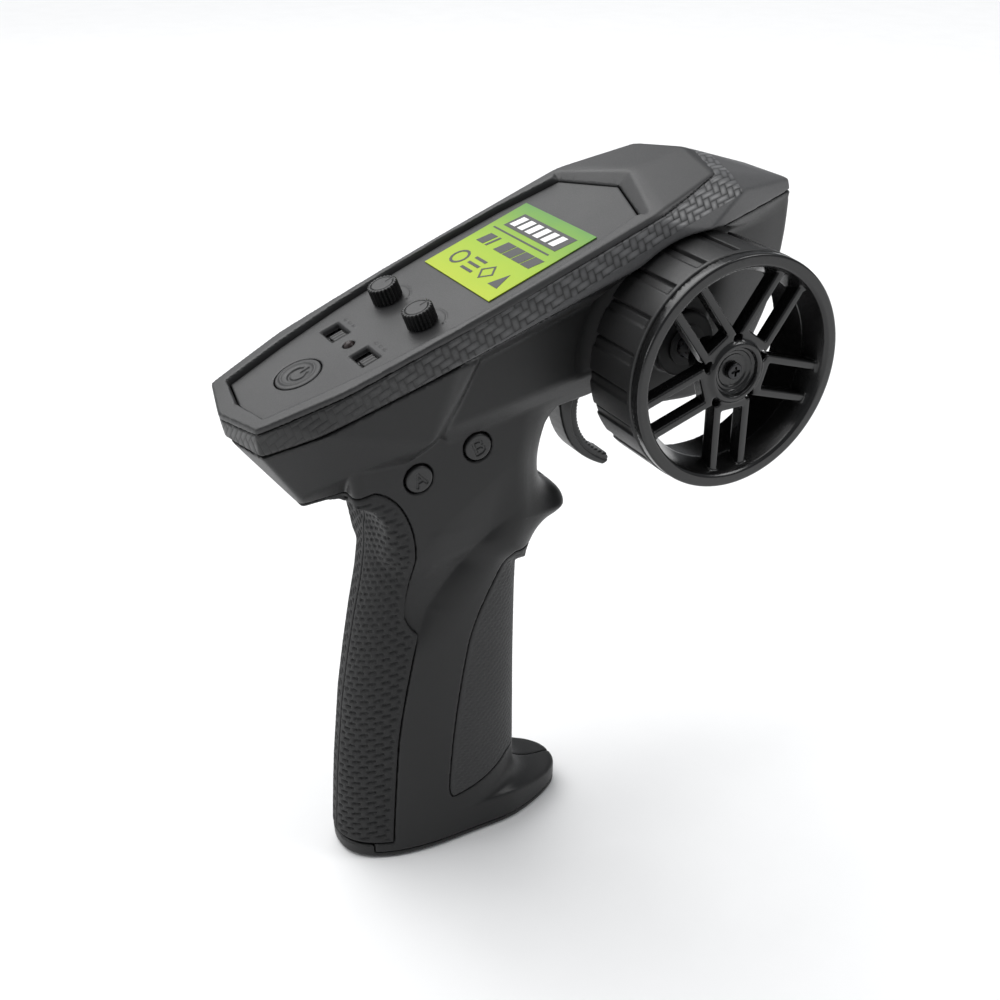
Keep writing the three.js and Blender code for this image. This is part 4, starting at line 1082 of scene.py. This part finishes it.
def print_label():
    rear = deck_centre("rating_label")[1] - 16.25
    face = PANEL_TOP + 0.36
    black = [slanted(-13, rear + 22.5, 26, 6.4, 0.15), slanted(-15, rear + 20.3, 28, 0.55, 0)]
    for i, width in enumerate((3.6, 1.0, 4.2, 4.2, 4.2, 4.2)):
        black.append(slanted(-13.5 + 4.6 * i, rear + 14, width, 4.3))
    black += [ring_shape(-10, rear + 7, 3, 0.8, 0, 2 * math.pi), slanted(-5.2, rear + 4.2, 5.6, 0.9, 0),
              slanted(-5.2, rear + 6.5, 5.6, 0.9, 0), slanted(-5.2, rear + 8.8, 5.6, 0.9, 0),
              ring_shape(4.6, rear + 7, 3, 0.8, 0, 2 * math.pi, 4),
              [(9.6, rear + 4.2), (14.2, rear + 4.2), (11.9, rear + 9.8)]]
    printed_shapes("label_black_print", black, face, "ink")
    white = [slanted(-11.6 + 3.9 * i, rear + 23.6, 2.6, 4.2, 0.2) for i in range(6)]
    printed_shapes("label_white_print", white, face + 0.06, "white_ink")


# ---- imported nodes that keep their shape
KEPT = {
    "rating_label": "label", "status_lamp": "lamp", "main_board": "board", "button_board": "board",
    "power_switch": "part_black", "button_a_switch": "part_black", "button_b_switch": "part_black",
    "reverse_switch_body_left": "steel", "reverse_switch_body_right": "steel",
    "trim_pot_left": "brass", "trim_pot_right": "brass", "steering_shaft": "steel",
    "steering_bush": "part_black", "steering_spring_arm": "part_black", "steering_spring": "steel",
    "steering_pot": "brass", "trigger_pin": "steel", "trigger_pot": "brass",
    "battery_box": "part_black", "contact_plate_upper": "steel", "contact_plate_lower": "steel",
    "aerial": "part_black",
}
KEPT.update({"cell_%d" % number: "cell_wrap" for number in range(1, 5)})
KEPT.update({"casing_screw_%d" % number: "dark_steel" for number in range(1, 7)})


def dress_kept_nodes():
    for name, look in KEPT.items():
        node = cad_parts[name]
        node.data.materials.clear()
        node.data.materials.append(LOOKS[look])
        node.data.shade_smooth()
        node.data.set_sharp_from_angle(angle=math.radians(35))


# ---- studio
def look_from(thing, place, target):
    thing.location = place
    aim = Vector(target) - Vector(place)
    thing.rotation_euler = aim.to_track_quat("-Z", "Y").to_euler()
    bpy.context.scene.collection.objects.link(thing)


def softbox(name, place, target, size, power):
    light = bpy.data.lights.new(name, "AREA")
    light.shape = "RECTANGLE"
    light.size, light.size_y = size
    light.energy = power
    look_from(bpy.data.objects.new(name, light), place, target)


def studio():
    camera = bpy.data.cameras.new("camera")
    camera.sensor_width = 36
    camera.lens = 48.8
    eye = bpy.data.objects.new("camera", camera)
    level = math.cos(CAMERA_ELEVATION)
    back = Vector((math.sin(CAMERA_AZIMUTH) * level, -math.cos(CAMERA_AZIMUTH) * level,
                   math.sin(CAMERA_ELEVATION)))
    look_from(eye, CAMERA_PLACE, Vector(CAMERA_PLACE) - back)
    bpy.context.scene.camera = eye

    world = bpy.data.worlds.new("studio")
    bpy.context.scene.world = world
    world.use_nodes = True
    world.node_tree.nodes["Background"].inputs["Color"].default_value = (0.93, 0.96, 1, 1)
    world.node_tree.nodes["Background"].inputs["Strength"].default_value = 0.3
    bpy.context.scene.view_settings.view_transform = "Standard"

    sun = bpy.data.lights.new("skylight", "SUN")
    sun.energy = 2.75
    sun.angle = math.radians(70)
    look_from(bpy.data.objects.new("skylight", sun), (-0.5, -0.3, 1.4), (0, 0, 0))
    softbox("key", (-0.95, 0.05, 0.9), (0, 0.02, 0.15), (0.9, 0.8), 2.6)
    softbox("rear", (-0.2, -0.9, 0.45), (0, 0, 0.14), (0.3, 0.3), 1.5)
    softbox("front", (0.5, 0.7, 0.9), (0, 0.05, 0.15), (0.4, 0.4), 3)

    mesh = bpy.data.meshes.new("floor")
    reach = 12.0
    mesh.from_pydata([(-reach, -reach, 0), (reach, -reach, 0), (reach, reach, 0), (-reach, reach, 0)],
                     [], [(0, 1, 2, 3)])
    floor = bpy.data.objects.new("floor", mesh)
    floor.location.z = -0.0001
    bpy.context.scene.collection.objects.link(floor)
    paper = Nodes("floor_paper", roughness=0.85)
    paper.set("Base Color", paper.colours(paper.noise(30, 3), (0.3, (0.86, 0.86, 0.86)),
                                          (0.7, (0.88, 0.88, 0.88))))
    mesh.materials.append(paper.material)


studio()
mould_casing()
mould_head()
mould_pads()
mould_panel()
mould_power_button()
mould_knobs()
mould_switch_nubs()
mould_wheel()
mould_tread()
mould_wheel_screw()
mould_trigger()
mould_side_buttons()
print_label()
dress_kept_nodes()
